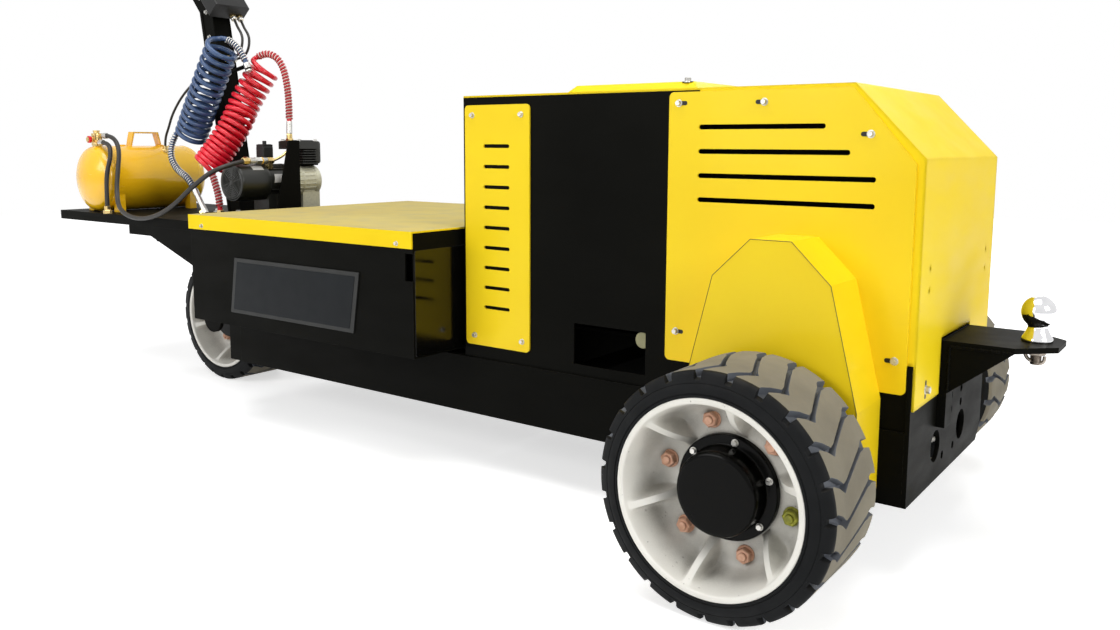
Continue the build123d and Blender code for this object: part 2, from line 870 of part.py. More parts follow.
with BuildPart() as air_tank:
    half = tank_length / 2
    straight = half - tank_head_depth
    knuckle_run = tank_radius - tank_knuckle_radius
    knuckle_rise = tank_head_depth - tank_knuckle_radius
    crown_drop = (knuckle_run**2 - knuckle_rise**2) / (2 * knuckle_rise)
    knuckle_turn = degrees(atan2(crown_drop, knuckle_run))
    with BuildSketch(Plane.XY.offset(tank_z)):
        with BuildLine():
            middle = (tank_x, tank_middle_y)
            shell = Polyline(
                middle,
                (tank_x + tank_radius, tank_middle_y),
                (tank_x + tank_radius, tank_middle_y + straight),
            )
            knuckle = JernArc(shell @ 1, (0, 1), tank_knuckle_radius, knuckle_turn)
            crown = JernArc(knuckle @ 1, knuckle % 1, tank_head_depth + crown_drop, 90 - knuckle_turn)
            Line(crown @ 1, middle)
        make_face()
    revolve(axis=Axis((tank_x, 0, tank_z), (0, 1, 0)))
    mirror(about=Plane.XZ.offset(-tank_middle_y))
    for end in (-1, 1):
        foot_y = tank_middle_y + end * (half - tank_foot_inset)
        for foot_x in (tank_x - tank_foot_reach, tank_x + tank_foot_reach):
            block(
                (foot_x - tank_foot_length / 2, foot_x + tank_foot_length / 2),
                (foot_y - tank_foot_width / 2, foot_y + tank_foot_width / 2),
                (platform_height, platform_height + tank_foot_height),
            )
    handle_low_z = tank_top_z - handle_sheet
    handle_high_z = tank_top_z + handle_rise
    strip_outline = [
        (handle_foot_half, handle_low_z),
        (handle_half, handle_high_z),
        (-handle_half, handle_high_z),
        (-handle_foot_half, handle_low_z),
        (handle_sheet - handle_foot_half, handle_low_z),
        (handle_sheet - handle_half, handle_high_z - handle_sheet),
        (handle_half - handle_sheet, handle_high_z - handle_sheet),
        (handle_foot_half - handle_sheet, handle_low_z),
    ]
    with BuildSketch(Plane.YZ.offset(tank_x - handle_strip / 2)) as strip:
        with BuildLine():
            handle_y = tank_middle_y + handle_shift
            Polyline(*[(handle_y + y, z) for y, z in strip_outline], close=True)
        make_face()
    extrude(strip.sketch, amount=handle_strip)
keep(air_tank, "air_tank")

# Tank valve: a brass block near the near end of the tank, with a knob and two hose stubs
valve_inset = 54
valve_half = 12
valve_height = 40
valve_knob_radius = 8
valve_knob_length = 20
stub_length = 26
stub_low_rise = 10
stub_high_rise = 32
stub_side_step = 7
hose_diameter = 14
hose_stub_radius = 6

valve_y = tank_middle_y - tank_length / 2 + valve_inset
valve_low_z = tank_top_z + seat_gap
stub_x = tank_x + valve_half + stub_length

with BuildPart() as tank_valve:
    block(
        (tank_x - valve_half, tank_x + valve_half),
        (valve_y - valve_half, valve_y + valve_half),
        (valve_low_z, valve_low_z + valve_height),
    )
    rod(
        (tank_x, valve_y, valve_low_z + valve_height / 2),
        (tank_x, valve_y - valve_half - valve_knob_length, valve_low_z + valve_height / 2),
        valve_knob_radius,
    )
    for rise, step in ((stub_low_rise, -stub_side_step), (stub_high_rise, stub_side_step)):
        rod(
            (tank_x, valve_y + step, valve_low_z + rise),
            (stub_x, valve_y + step, valve_low_z + rise),
            hose_stub_radius,
        )
keep(tank_valve, "tank_valve")

# Air compressor across the platform beside the battery box
compressor_gap = 150
compressor_base_half = 70
compressor_base_height = 12
compressor_base_near = 170
compressor_base_far = 180
pump_axis_rise = 112
motor_near_y = -165
motor_joint_y = -63
motor_far_y = 24
fan_cover_radius = 54
motor_body_radius = 50
motor_foot_half = 36
crankcase_near_y = 66
crankcase_far_y = 132
crankcase_radius = 48
head_near_y = 42
head_top_rise = 234
head_height = 24
head_half = 46
barrel_half = 37
barrel_near_y = 70
barrel_far_y = 128
switch_near_y = -62
switch_width = 34
switch_height = 62

compressor_x = battery_front_x - compressor_gap
base_top_z = platform_height + compressor_base_height
pump_axis_z = platform_height + pump_axis_rise
head_top_z = platform_height + head_top_rise

with BuildPart() as compressor_base:
    block(
        (compressor_x - compressor_base_half, compressor_x + compressor_base_half),
        (-compressor_base_near, compressor_base_far),
        (platform_height, base_top_z),
    )
keep(compressor_base, "compressor_base")

with BuildPart() as compressor_motor:
    rod(
        (compressor_x, motor_near_y, pump_axis_z),
        (compressor_x, motor_joint_y, pump_axis_z),
        fan_cover_radius,
    )
    rod(
        (compressor_x, motor_joint_y, pump_axis_z),
        (compressor_x, motor_far_y, pump_axis_z),
        motor_body_radius,
    )
    block(
        (compressor_x - motor_foot_half, compressor_x + motor_foot_half),
        (motor_joint_y, motor_far_y),
        (base_top_z, pump_axis_z),
    )
keep(compressor_motor, "compressor_motor")

with BuildPart() as compressor_pump:
    rod(
        (compressor_x, motor_far_y, pump_axis_z),
        (compressor_x, crankcase_far_y, pump_axis_z),
        crankcase_radius,
    )
    block(
        (compressor_x - motor_foot_half, compressor_x + motor_foot_half),
        (crankcase_near_y, crankcase_far_y),
        (base_top_z, pump_axis_z),
    )
keep(compressor_pump, "compressor_pump")

with BuildPart() as pump_head:
    head_low_z = head_top_z - head_height
    barrel_low_z = pump_axis_z + crankcase_radius + seat_gap
    block(
        (compressor_x - head_half, compressor_x + head_half),
        (head_near_y, barrel_far_y),
        (head_low_z, head_top_z),
    )
    block(
        (compressor_x - barrel_half, compressor_x + barrel_half),
        (barrel_near_y, barrel_far_y),
        (barrel_low_z, head_low_z),
    )
keep(pump_head, "pump_head")

with BuildPart() as pressure_switch:
    switch_low_z = pump_axis_z + motor_body_radius + seat_gap
    block(
        (compressor_x - switch_width / 2, compressor_x + switch_width / 2),
        (switch_near_y, switch_near_y + switch_width),
        (switch_low_z, switch_low_z + switch_height),
    )
keep(pressure_switch, "pressure_switch")

# Pump bracket: an upright plate between the compressor and the battery box
bracket_near_y = -78
bracket_far_y = 16
bracket_top_near_y = -22
bracket_top_rise = 237
bracket_sheet = 6
bracket_gap = 12

with BuildPart() as pump_bracket:
    bracket_x = compressor_x + compressor_base_half + bracket_gap
    with BuildSketch(Plane.YZ.offset(bracket_x)):
        with BuildLine():
            Polyline(
                (bracket_near_y, platform_height),
                (bracket_far_y, platform_height),
                (bracket_far_y, platform_height + bracket_top_rise),
                (bracket_top_near_y, platform_height + bracket_top_rise),
                close=True,
            )
        make_face()
    extrude(amount=bracket_sheet)
    block(
        (bracket_x, bracket_x + head_half),
        (bracket_near_y, bracket_far_y),
        (platform_height, platform_height + bracket_sheet),
    )
keep(pump_bracket, "pump_bracket")

# Mast: a square tube that leans over the platform and turns over at its top
mast_side = 60
mast_foot_half = 75
mast_foot_sheet = 10
mast_bend_run = 110
mast_bend_rise = 649
mast_head_run = 122
mast_head_rise = 146
arm_rise = 445
arm_reach = 116
arm_side = -48
arm_lift = 17
arm_radius = 6
socket_lift = 5
socket_radius = 10
socket_length = 24
socket_lean = (12, 2, -29)


def mast_point(run, z):
    """Gives a point on the mast's centre line, run being its distance in front of the foot."""
    return Vector(steer_x - run, 0, z)


mast_bend_z = platform_height + mast_bend_rise
mast_foot = mast_point(0, platform_height + mast_foot_sheet)
mast_bend = mast_point(mast_bend_run, mast_bend_z)
mast_tip = mast_point(mast_bend_run + mast_head_run, mast_bend_z + mast_head_rise)

mast_axis = (mast_bend - mast_foot).normalized()
mast_front = Vector(-mast_axis.Z, 0, mast_axis.X)


def mast_centre(rise):
    """Gives a point on the lower length's centre line at a height over the platform."""
    return mast_foot + mast_axis * ((rise - mast_foot_sheet) / mast_axis.Z)


arm_root = mast_centre(arm_rise)
arm_tip = Vector(steer_x + arm_reach, arm_side, arm_root.Z + arm_lift)
socket_axis = Vector(*socket_lean).normalized()
socket_top = arm_tip + Vector(0, 0, socket_lift)

with BuildPart() as mast:
    with BuildLine() as mast_path:
        Polyline(mast_foot, mast_bend, mast_tip)
    with BuildSketch(Plane(origin=mast_foot, x_dir=(0, 1, 0), z_dir=mast_bend - mast_foot)):
        Rectangle(mast_side, mast_side)
    sweep(path=mast_path.line, transition=Transition.RIGHT)
    block(
        (steer_x - mast_foot_half, steer_x + mast_foot_half),
        (-mast_foot_half, mast_foot_half),
        (platform_height, platform_height + mast_foot_sheet),
    )
    split(bisect_by=Plane.XY.offset(platform_height), keep=Keep.TOP)
    rod(arm_root, arm_tip, arm_radius)
    rod(socket_top, socket_top + socket_axis * socket_length, socket_radius)
keep(mast, "mast")

# Control head: a box square to the mast's top length, with its handlebar
head_box_length = 52
head_box_depth = 186
head_box_width = 120
head_box_start = -60
bar_radius = 14
bar_half = 230

head_axis = (mast_tip - mast_bend).normalized()
head_out = Vector(head_axis.Z, 0, -head_axis.X)
head_origin = mast_bend + head_axis * head_box_start + head_out * (mast_side / 2)

with BuildPart() as control_head:
    box_centre = head_origin + head_out * (head_box_length / 2)
    with BuildSketch(Plane(origin=box_centre, x_dir=head_out, z_dir=head_axis)):
        Rectangle(head_box_length, head_box_width)
    extrude(amount=head_box_depth)
keep(control_head, "control_head")

with BuildPart() as handlebar:
    bar_centre = mast_tip + head_axis * bar_radius
    rod(
        (bar_centre.X, -bar_half, bar_centre.Z),
        (bar_centre.X, bar_half, bar_centre.Z),
        bar_radius,
    )
keep(handlebar, "handlebar")

# Fittings that the hoses end in: the pump's outlet and head fitting, ports on the platform, tank sender
outlet_out = 30
outlet_near_y = -136
outlet_far_y = -38
outlet_rise = 176
outlet_radius = 8
outlet_leg_y = -54
head_fitting_y = 49
head_fitting_height = 20
coil_hose_diameter = 15
fitting_radius = 9
port_height = 24
loop_port_back = 113
loop_port_y = -246
red_port_gap = 71
low_port_y = -130
sender_back = 60
ferrule_radius = 8
ferrule_top_back = 58
ferrule_foot_back = 4
ferrule_top_rise = 82
ferrule_foot_rise = 10
ferrule_boss = 12

outlet_x = compressor_x + outlet_out
outlet_z = platform_height + outlet_rise
loop_port_x = tank_x + loop_port_back
red_port_x = steer_x + red_port_gap
ferrule_top = Vector(steer_x - ferrule_top_back, low_port_y, platform_height + ferrule_top_rise)
ferrule_foot = Vector(steer_x - ferrule_foot_back, low_port_y, platform_height + ferrule_foot_rise)
sender_x = tank_x + sender_back

with BuildPart() as air_fittings:
    rod((outlet_x, outlet_near_y, outlet_z), (outlet_x, outlet_far_y, outlet_z), outlet_radius)
    block(
        (outlet_x - outlet_radius, outlet_x + outlet_radius),
        (outlet_leg_y - outlet_radius, outlet_leg_y + outlet_radius),
        (pump_axis_z, outlet_z),
    )
    rod(
        (compressor_x, motor_joint_y - overrun, pump_axis_z),
        (compressor_x, motor_far_y + overrun, pump_axis_z),
        fan_cover_radius + seat_gap,
        Mode.SUBTRACT,
    )
    rod(
        (compressor_x, head_fitting_y, head_top_z),
        (compressor_x, head_fitting_y, head_top_z + head_fitting_height),
        fitting_radius,
    )
    for port_x, port_y in ((loop_port_x, loop_port_y), (red_port_x, low_port_y)):
        rod(
            (port_x, port_y, platform_height),
            (port_x, port_y, platform_height + port_height),
            fitting_radius,
        )
    rod(ferrule_top, ferrule_foot, ferrule_radius)
    block(
        (ferrule_foot.X - ferrule_boss, ferrule_foot.X + ferrule_boss),
        (low_port_y - ferrule_boss, low_port_y + ferrule_boss),
        (platform_height, platform_height + ferrule_boss),
    )
keep(air_fittings, "air_fittings")

with BuildPart() as tank_sender:
    rod((sender_x, 0, tank_z), (sender_x, 0, tank_top_z), fitting_radius)
    rod(
        (tank_x, -overrun, tank_z),
        (tank_x, overrun, tank_z),
        tank_radius + running_gap,
        Mode.SUBTRACT,
    )
keep(tank_sender, "tank_sender")

# Cable glands: two under the control head, three on the mast
gland_radius = 8
gland_length = 18
cable_diameter = 8
near_head_gland_y = 18
far_head_gland_y = 42
near_mast_gland_y = -6
far_mast_gland_y = 20
head_gland_start = 11
head_gland_rise = 487
mast_gland_rise = 462

head_cable_ends = []
with BuildPart() as cable_glands:
    for head_y, mast_y in ((near_head_gland_y, near_mast_gland_y), (far_head_gland_y, far_mast_gland_y)):
        under_head = head_origin + head_out * head_gland_start + Vector(0, head_y, 0)
        under_head_end = under_head - head_axis * gland_length
        rod(under_head, under_head_end, gland_radius)
        on_mast = mast_centre(head_gland_rise) - mast_front * (mast_side / 2) + Vector(0, mast_y, 0)
        on_mast_end = on_mast - mast_front * gland_length
        rod(on_mast, on_mast_end, gland_radius)
        head_cable_ends.append((under_head_end, on_mast_end))
    mast_gland = mast_centre(mast_gland_rise) + mast_front * (mast_side / 2)
    mast_gland_end = mast_gland + mast_front * gland_length
    rod(mast_gland, mast_gland_end, gland_radius)
keep(cable_glands, "cable_glands")

# Hoses and cables. Each is a tube along straight runs that tangent arcs join
run_share = 0.45


def hose(name, points, diameter):
    """Makes a tube along a route of points, with arcs as large as the runs beside them allow."""
    points = [Vector(*point) for point in points]
    runs = [after - before for before, after in zip(points, points[1:])]
    radii = []
    for before, after in zip(runs, runs[1:]):
        half_turn = before.get_angle(after) / 2
        radii.append(run_share * min(before.length, after.length) / tan(radians(half_turn)))
    with BuildPart() as tube:
        with BuildLine() as path:
            FilletPolyline(*points, radius=radii)
        with BuildSketch(Plane(origin=points[0], z_dir=runs[0])) as section:
            Circle(diameter / 2)
        sweep(section.sketch, path=path.wire())
    keep(tube, name)
    length = path.wire().length
    volume_share = tube.part.volume / (section.sketch.area * length)
    print(
        f"{name}: length {length:.1f}, diameter {diameter}, radii",
        [round(radius, 1) for radius in radii],
        f"volume share {volume_share:.4f}",
    )


def route(start, end, rows):
    """Lays points between two ends. Each row is (share of the way, ahead on X, side on Y, rise on Z)."""
    start = Vector(*start)
    end = Vector(*end)
    between = [
        start + (end - start) * share + Vector(ahead, side, rise)
        for share, ahead, side, rise in rows
    ]
    return [start] + between + [end]


# Each row is (share of the way between the route's ends, then what it lies ahead, aside and above)
air_hose_route = [
    (0.09, -9, -6, 7),
    (0.18, -25, -15, -28),
    (0.27, -78, -36, -98),
    (0.36, -121, -58, -157),
    (0.45, -120, -92, -199),
    (0.55, -97, -106, -215),
    (0.64, -51, -113, -203),
    (0.73, -6, -115, -161),
    (0.82, 30, -108, -87),
    (0.91, 57, -86, -22),
]
loop_hose_route = [
    (0.2, 35, 6, 41),
    (0.4, 51, 0, 42),
    (0.6, 26, -6, 26),
    (0.8, 15, -6, 12),
]
blue_low_route = [
    (0.2, -41, -7, -5),
    (0.4, -55, -11, -14),
    (0.6, -39, -8, -14),
    (0.8, -7, -4, 1),
]
blue_high_route = [
    (0.33, 12, 1, 7),
    (0.67, 12, 3, 4),
]
red_low_route = [
    (0.33, 3, 0, 5),
    (0.67, 5, 2, 3),
]
red_high_route = [
    (0.14, 22, 9, 48),
    (0.29, 39, 17, 69),
    (0.43, 41, 21, 70),
    (0.57, 34, 20, 62),
    (0.71, 24, 17, 47),
    (0.86, 12, 9, 24),
]
mast_cable_route = [
    (0.14, -12, 0, 24),
    (0.29, -39, 2, 37),
    (0.43, -65, 3, 29),
    (0.57, -80, 2, 6),
    (0.71, -64, 1, -9),
    (0.86, -40, 0, -6),
]
head_cable_route = [
    (0.16, 19, 0, -4),
    (0.33, 44, 0, -3),
    (0.5, 58, 0, -4),
    (0.68, 56, 0, -14),
    (0.86, 34, 0, -16),
]

# Coiled hoses: axis points, each (ahead of the steered axle, side, over the platform)
blue_coil_diameter = 102
red_coil_diameter = 98
blue_coil_axis = [
    (60, -90, 521),
    (-44, -90, 380),
    (-133, -90, 244),
]
red_coil_axis = [
    (119, 18, 462),
    (64, -20, 362),
    (69, -70, 262),
    (15, -128, 159),
]
blue_high_step = Vector(-23, 25, 27)
blue_low_step = Vector(-25, -31, 17)
red_high_step = Vector(-25, -16, 29)
red_low_step = Vector(35, -11, -20)

blue_axis = [Vector(steer_x + ahead, side, platform_height + rise) for ahead, side, rise in blue_coil_axis]
red_axis = [Vector(steer_x + ahead, side, platform_height + rise) for ahead, side, rise in red_coil_axis]
hose("blue_coil", blue_axis, blue_coil_diameter)
hose("red_coil", red_axis, red_coil_diameter)

valve_high = (stub_x, valve_y + stub_side_step, valve_low_z + stub_high_rise)
valve_low = (stub_x, valve_y - stub_side_step, valve_low_z + stub_low_rise)
outlet = (outlet_x, outlet_near_y, outlet_z)
loop_port = (loop_port_x, loop_port_y, platform_height + port_height)
red_port = (red_port_x, low_port_y, platform_height + port_height)
head_port = (compressor_x, head_fitting_y, head_top_z + head_fitting_height)
sender_top = (sender_x, 0, tank_top_z)
hose("air_hose", route(valve_high, outlet, air_hose_route), hose_diameter)
hose("loop_hose", route(valve_low, loop_port, loop_hose_route), hose_diameter)
hose("blue_low_tail", route(blue_axis[-1] + blue_low_step, ferrule_top, blue_low_route), coil_hose_diameter)
hose("blue_high_tail", route(blue_axis[0] + blue_high_step, socket_top, blue_high_route), coil_hose_diameter)
hose("red_low_tail", route(red_axis[-1] + red_low_step, red_port, red_low_route), coil_hose_diameter)
hose("red_high_tail", route(red_axis[0] + red_high_step, head_port, red_high_route), coil_hose_diameter)
hose("mast_cable", route(mast_gland_end, sender_top, mast_cable_route), cable_diameter)
for name, (high_end, low_end) in zip(("near_head_cable", "far_head_cable"), head_cable_ends):
    hose(name, route(high_end, low_end, head_cable_route), cable_diameter)
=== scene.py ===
import math

import bmesh
import bpy
from mathutils import Matrix, Quaternion, Vector


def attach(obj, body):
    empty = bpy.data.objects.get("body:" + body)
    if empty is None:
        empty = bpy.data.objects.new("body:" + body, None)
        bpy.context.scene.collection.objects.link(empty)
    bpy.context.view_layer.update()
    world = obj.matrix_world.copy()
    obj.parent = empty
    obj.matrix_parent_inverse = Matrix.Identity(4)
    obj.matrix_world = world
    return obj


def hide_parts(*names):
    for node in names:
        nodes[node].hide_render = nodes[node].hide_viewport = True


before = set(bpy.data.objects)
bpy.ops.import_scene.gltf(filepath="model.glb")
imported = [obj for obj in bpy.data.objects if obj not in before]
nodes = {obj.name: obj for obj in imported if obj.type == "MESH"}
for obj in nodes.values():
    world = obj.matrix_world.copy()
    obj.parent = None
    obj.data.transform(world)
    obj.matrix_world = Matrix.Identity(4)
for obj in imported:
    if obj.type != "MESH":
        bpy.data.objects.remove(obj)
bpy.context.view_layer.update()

# Camera of the photograph, 1120 by 630 pixels
PHOTO_WIDTH = 1120
FOCAL_PIXELS = 954.51
PRINCIPAL_RISE = -46.84
CAMERA_PLACE = Vector((1.7816, -1.8739, 0.7491))
CAMERA_AZIMUTH = math.radians(36.24)
CAMERA_DOWN = math.radians(7.34)
CAMERA_ROLL = math.radians(0.25)
SENSOR = 36.0


def make_camera():
    """Puts the camera where the photograph was taken from."""
    data = bpy.data.cameras.new("camera")
    data.sensor_width = SENSOR
    data.lens = FOCAL_PIXELS / PHOTO_WIDTH * SENSOR
    data.shift_y = PRINCIPAL_RISE / PHOTO_WIDTH
    data.clip_start = 0.05
    camera = bpy.data.objects.new("camera", data)
    bpy.context.scene.collection.objects.link(camera)
    look = Vector(
        (
            -math.sin(CAMERA_AZIMUTH) * math.cos(CAMERA_DOWN),
            math.cos(CAMERA_AZIMUTH) * math.cos(CAMERA_DOWN),
            -math.sin(CAMERA_DOWN),
        )
    )
    camera.location = CAMERA_PLACE
    camera.rotation_mode = "QUATERNION"
    camera.rotation_quaternion = look.to_track_quat("-Z", "Y") @ Quaternion((0, 0, 1), CAMERA_ROLL)
    bpy.context.scene.camera = camera


make_camera()


# Materials


class Shader:
    """One material's node tree, built with short calls."""

    def __init__(self, name):
        self.material = bpy.data.materials.new(name)
        self.material.use_nodes = True
        self.tree = self.material.node_tree
        self.tree.nodes.clear()
        self.place = self.add("ShaderNodeTexCoord").outputs["Object"]
        self.normal = self.add("ShaderNodeNewGeometry").outputs["Normal"]

    def add(self, kind, inputs=(), **settings):
        """Adds a node. Inputs that are sockets are linked, the others are set."""
        node = self.tree.nodes.new(kind)
        for key, value in settings.items():
            setattr(node, key, value)
        for key, value in dict(inputs).items():
            if isinstance(value, bpy.types.NodeSocket):
                self.tree.links.new(value, node.inputs[key])
            else:
                node.inputs[key].default_value = value
        return node

    def noise(self, scale, detail=4.0, stretch=None, roughness=0.5):
        """Noise from 0 to 1, drawn out along an axis where stretch says so."""
        place = self.place
        if stretch:
            place = self.add("ShaderNodeMapping", {"Vector": place, "Scale": stretch}).outputs[0]
        values = {"Vector": place, "Scale": scale, "Detail": detail, "Roughness": roughness}
        return self.add("ShaderNodeTexNoise", values).outputs["Fac"]

    def ramp(self, value, low, high, to_low=0.0, to_high=1.0):
        """Maps a span of a value to another span, and clamps it."""
        values = {"Value": value, "From Min": low, "From Max": high, "To Min": to_low, "To Max": to_high}
        return self.add("ShaderNodeMapRange", values).outputs["Result"]

    def math(self, operation, first, second=0.0):
        return self.add("ShaderNodeMath", {0: first, 1: second}, operation=operation).outputs[0]

    def mix(self, share, first, second):
        """Mixes two colours by a share."""
        node = self.add("ShaderNodeMix", data_type="RGBA")
        for index, value in ((0, share), (6, first), (7, second)):
            if isinstance(value, bpy.types.NodeSocket):
                self.tree.links.new(value, node.inputs[index])
            else:
                node.inputs[index].default_value = value
        return node.outputs[2]

    def edges(self, radius):
        """(normal rounded at edges, mask of the edges)."""
        rounded = self.add("ShaderNodeBevel", {"Radius": radius}, samples=4).outputs[0]
        dot = self.add("ShaderNodeVectorMath", {0: rounded, 1: self.normal}, operation="DOT_PRODUCT")
        return rounded, self.ramp(dot.outputs["Value"], 0.995, 0.82)

    def upward(self):
        """How far the surface looks up, from 0 to 1."""
        split = self.add("ShaderNodeSeparateXYZ", {0: self.normal})
        return self.ramp(split.outputs["Z"], 0.2, 0.95)

    def bump(self, height, strength, distance, normal=None):
        values = {"Height": height, "Strength": strength, "Distance": distance}
        if normal:
            values["Normal"] = normal
        return self.add("ShaderNodeBump", values).outputs[0]

    def finish(self, **values):
        """Ends the tree in one principled surface."""
        surface = self.add("ShaderNodeBsdfPrincipled", values)
        self.add("ShaderNodeOutputMaterial", {"Surface": surface.outputs[0]})
        return self.material


def colour(red, green, blue):
    """A linear colour from 0 to 255 values as they are seen."""
    shares = [value / 255 for value in (red, green, blue)]
    linear = [s / 12.92 if s <= 0.04045 else ((s + 0.055) / 1.055) ** 2.4 for s in shares]
    return (*linear, 1.0)


def paint(
    name, main, shade, worn, roughness, coat, dust=0.15, peel=0.25, edge=0.0015, wear=0.5, level=0.5,
    dust_and_sheen_colour=(176, 168, 150), painted_sheen=0.0,
):
    """Powder coat or gloss paint: cloudy colour, fine peel, worn edges and dust on what looks up, and where asked for,
    an even painted grey reflection over what looks up.
    """
    s = Shader(name)
    rounded, rim = s.edges(edge)
    cloud = s.ramp(s.noise(2.6, 3.0), 0.35, 0.68)
    body = s.mix(cloud, main, shade)
    chips = s.ramp(s.noise(90.0, 6.0, roughness=0.7), 0.5, 0.6)
    chipped = s.math("MULTIPLY", s.math("MULTIPLY", rim, chips), wear)
    body = s.mix(chipped, body, worn)
    # What looks up gets dust, and where the low end of this ramp is raised, an even painted reflection of the bright
    # background.
    settled = s.math("MULTIPLY", s.upward(), s.ramp(s.noise(14.0, 8.0), 0.42, 0.75, painted_sheen, max(dust, painted_sheen)))
    body = s.mix(settled, body, colour(*dust_and_sheen_colour))
    scuffs = s.ramp(s.noise(7.0, 6.0, stretch=(1.0, 1.0, 3.0)), 0.3, 0.75, -0.06, 0.1)
    rough = s.math("ADD", s.math("ADD", scuffs, roughness), s.math("MULTIPLY", settled, 0.5))
    grain = s.bump(s.noise(420.0, 2.0), peel, 0.0004, rounded)
    return s.finish(
        **{
            "Base Color": body, "Roughness": rough, "Normal": grain, "Coat Weight": coat,
            "Coat Roughness": 0.08, "Specular IOR Level": level,
        }
    )


def metal(name, main, shade, roughness, streak, bump=0.1, scale=60.0, metallic=1.0):
    """Bare metal: stained colour, with streaks drawn out along an axis."""
    s = Shader(name)
    rounded, rim = s.edges(0.0006)
    stain = s.ramp(s.noise(scale * 0.35, 6.0), 0.35, 0.7)
    body = s.mix(stain, main, shade)
    lines = s.noise(scale, 4.0, stretch=streak)
    rough = s.ramp(lines, 0.25, 0.75, roughness * 0.7, roughness * 1.3)
    grain = s.bump(lines, bump, 0.0003, rounded)
    return s.finish(**{"Base Color": body, "Roughness": rough, "Normal": grain, "Metallic": metallic})


def soft(name, main, shade, roughness, scale=120.0, bump=0.3, stretch=None, level=0.5, dust=0.2):
    """Rubber or plastic: mottled, with a fine grain and dust."""
    s = Shader(name)
    rounded, rim = s.edges(0.001)
    body = s.mix(s.ramp(s.noise(9.0, 5.0), 0.35, 0.7), main, shade)
    settled = s.math("MULTIPLY", s.upward(), s.ramp(s.noise(25.0, 8.0), 0.4, 0.8, 0.0, dust))
    body = s.mix(settled, body, colour(150, 142, 128))
    rough = s.ramp(s.noise(30.0, 5.0), 0.3, 0.7, roughness * 0.85, roughness * 1.15)
    grain = s.bump(s.noise(scale, 5.0, stretch=stretch), bump, 0.0004, rounded)
    return s.finish(
        **{"Base Color": body, "Roughness": rough, "Normal": grain, "Specular IOR Level": level}
    )


yellow = paint(
    "yellow_paint", colour(250, 218, 28), colour(244, 208, 24), colour(120, 104, 40), 0.38, 0.06,
    dust_and_sheen_colour=(170, 158, 80), level=0.2,
)
hood_yellow = paint(
    "hood_yellow", colour(252, 222, 34), colour(248, 214, 28), colour(120, 104, 40), 0.42, 0.0,
    dust_and_sheen_colour=(170, 158, 80), level=0.08, edge=0.012, wear=0.05,
)
# The lid's top gets an even grey film: a painted reflection of the bright background, with dust over it.
lid_yellow_with_sheen = paint(
    "lid_yellow_with_sheen", colour(250, 218, 28), colour(244, 208, 24), colour(120, 104, 40), 0.45, 0.0,
    dust=0.66, dust_and_sheen_colour=(142, 146, 146), level=0.1, painted_sheen=0.53,
)
motor_black = paint(
    "motor_black", colour(30, 31, 26), colour(22, 23, 19), colour(90, 88, 80), 0.35, 0.1, dust=0.05, level=0.4
)
black = paint(
    "black_paint", colour(13, 13, 10), colour(8, 8, 6), colour(70, 68, 62), 0.5, 0.0, dust=0.02, level=0.03,
    wear=0.3,
)
gloss_black = paint(
    "gloss_black", colour(4, 4, 3), colour(3, 3, 2), colour(60, 58, 54), 0.2, 0.04, dust=0.02, peel=0.1, level=0.06,
    wear=0.2,
)
end_black = paint(
    "end_black", colour(8, 8, 7), colour(5, 5, 5), colour(50, 48, 44), 0.12, 0.0, dust=0.0, peel=0.05, wear=0.2
)
tank_paint = paint(
    "tank_paint", colour(255, 202, 22), colour(252, 190, 16), colour(150, 96, 30), 0.2, 0.3, peel=0.12
)
tread_side = soft("tyre_rubber", colour(22, 23, 24), colour(15, 16, 17), 0.62, 70.0, 0.35, level=0.1, dust=0.06)
tread_top = soft("tyre_tread_top", colour(132, 126, 110), colour(118, 112, 98), 0.85, 160.0, 0.5, level=0.3)
tread_floor = soft("tyre_groove", colour(112, 116, 122), colour(84, 88, 96), 0.8, 90.0, 0.5, level=0.3)
hose_rubber = soft("hose_rubber", colour(40, 37, 33), colour(28, 26, 24), 0.45, 300.0, 0.3, level=0.4, dust=0.05)
black_plastic = soft("black_plastic", colour(16, 16, 16), colour(11, 11, 11), 0.42, 500.0, 0.25, level=0.3, dust=0.05)
sign_face = soft("sign_face", colour(9, 14, 18), colour(6, 10, 14), 0.4, 350.0, 0.12, level=0.12, dust=0.02)
sign_border = soft("sign_border", colour(34, 35, 34), colour(28, 29, 28), 0.45, 350.0, 0.12, level=0.25, dust=0.02)
blue_plastic = soft("blue_hose", colour(56, 84, 126), colour(42, 66, 104), 0.3, 40.0, 0.08, dust=0.03)
red_plastic = soft("red_hose", colour(226, 22, 46), colour(206, 14, 34), 0.24, 40.0, 0.08, dust=0.03)
red_guard = soft("red_guard", colour(190, 30, 40), colour(160, 20, 30), 0.4, 90.0, 0.2, dust=0.03)
pale_guard = soft("pale_guard", colour(232, 214, 208), colour(214, 190, 184), 0.4, 90.0, 0.2, dust=0.03)
label = soft("blank_label", colour(206, 204, 200), colour(190, 188, 184), 0.35, 200.0, 0.05, dust=0.05)
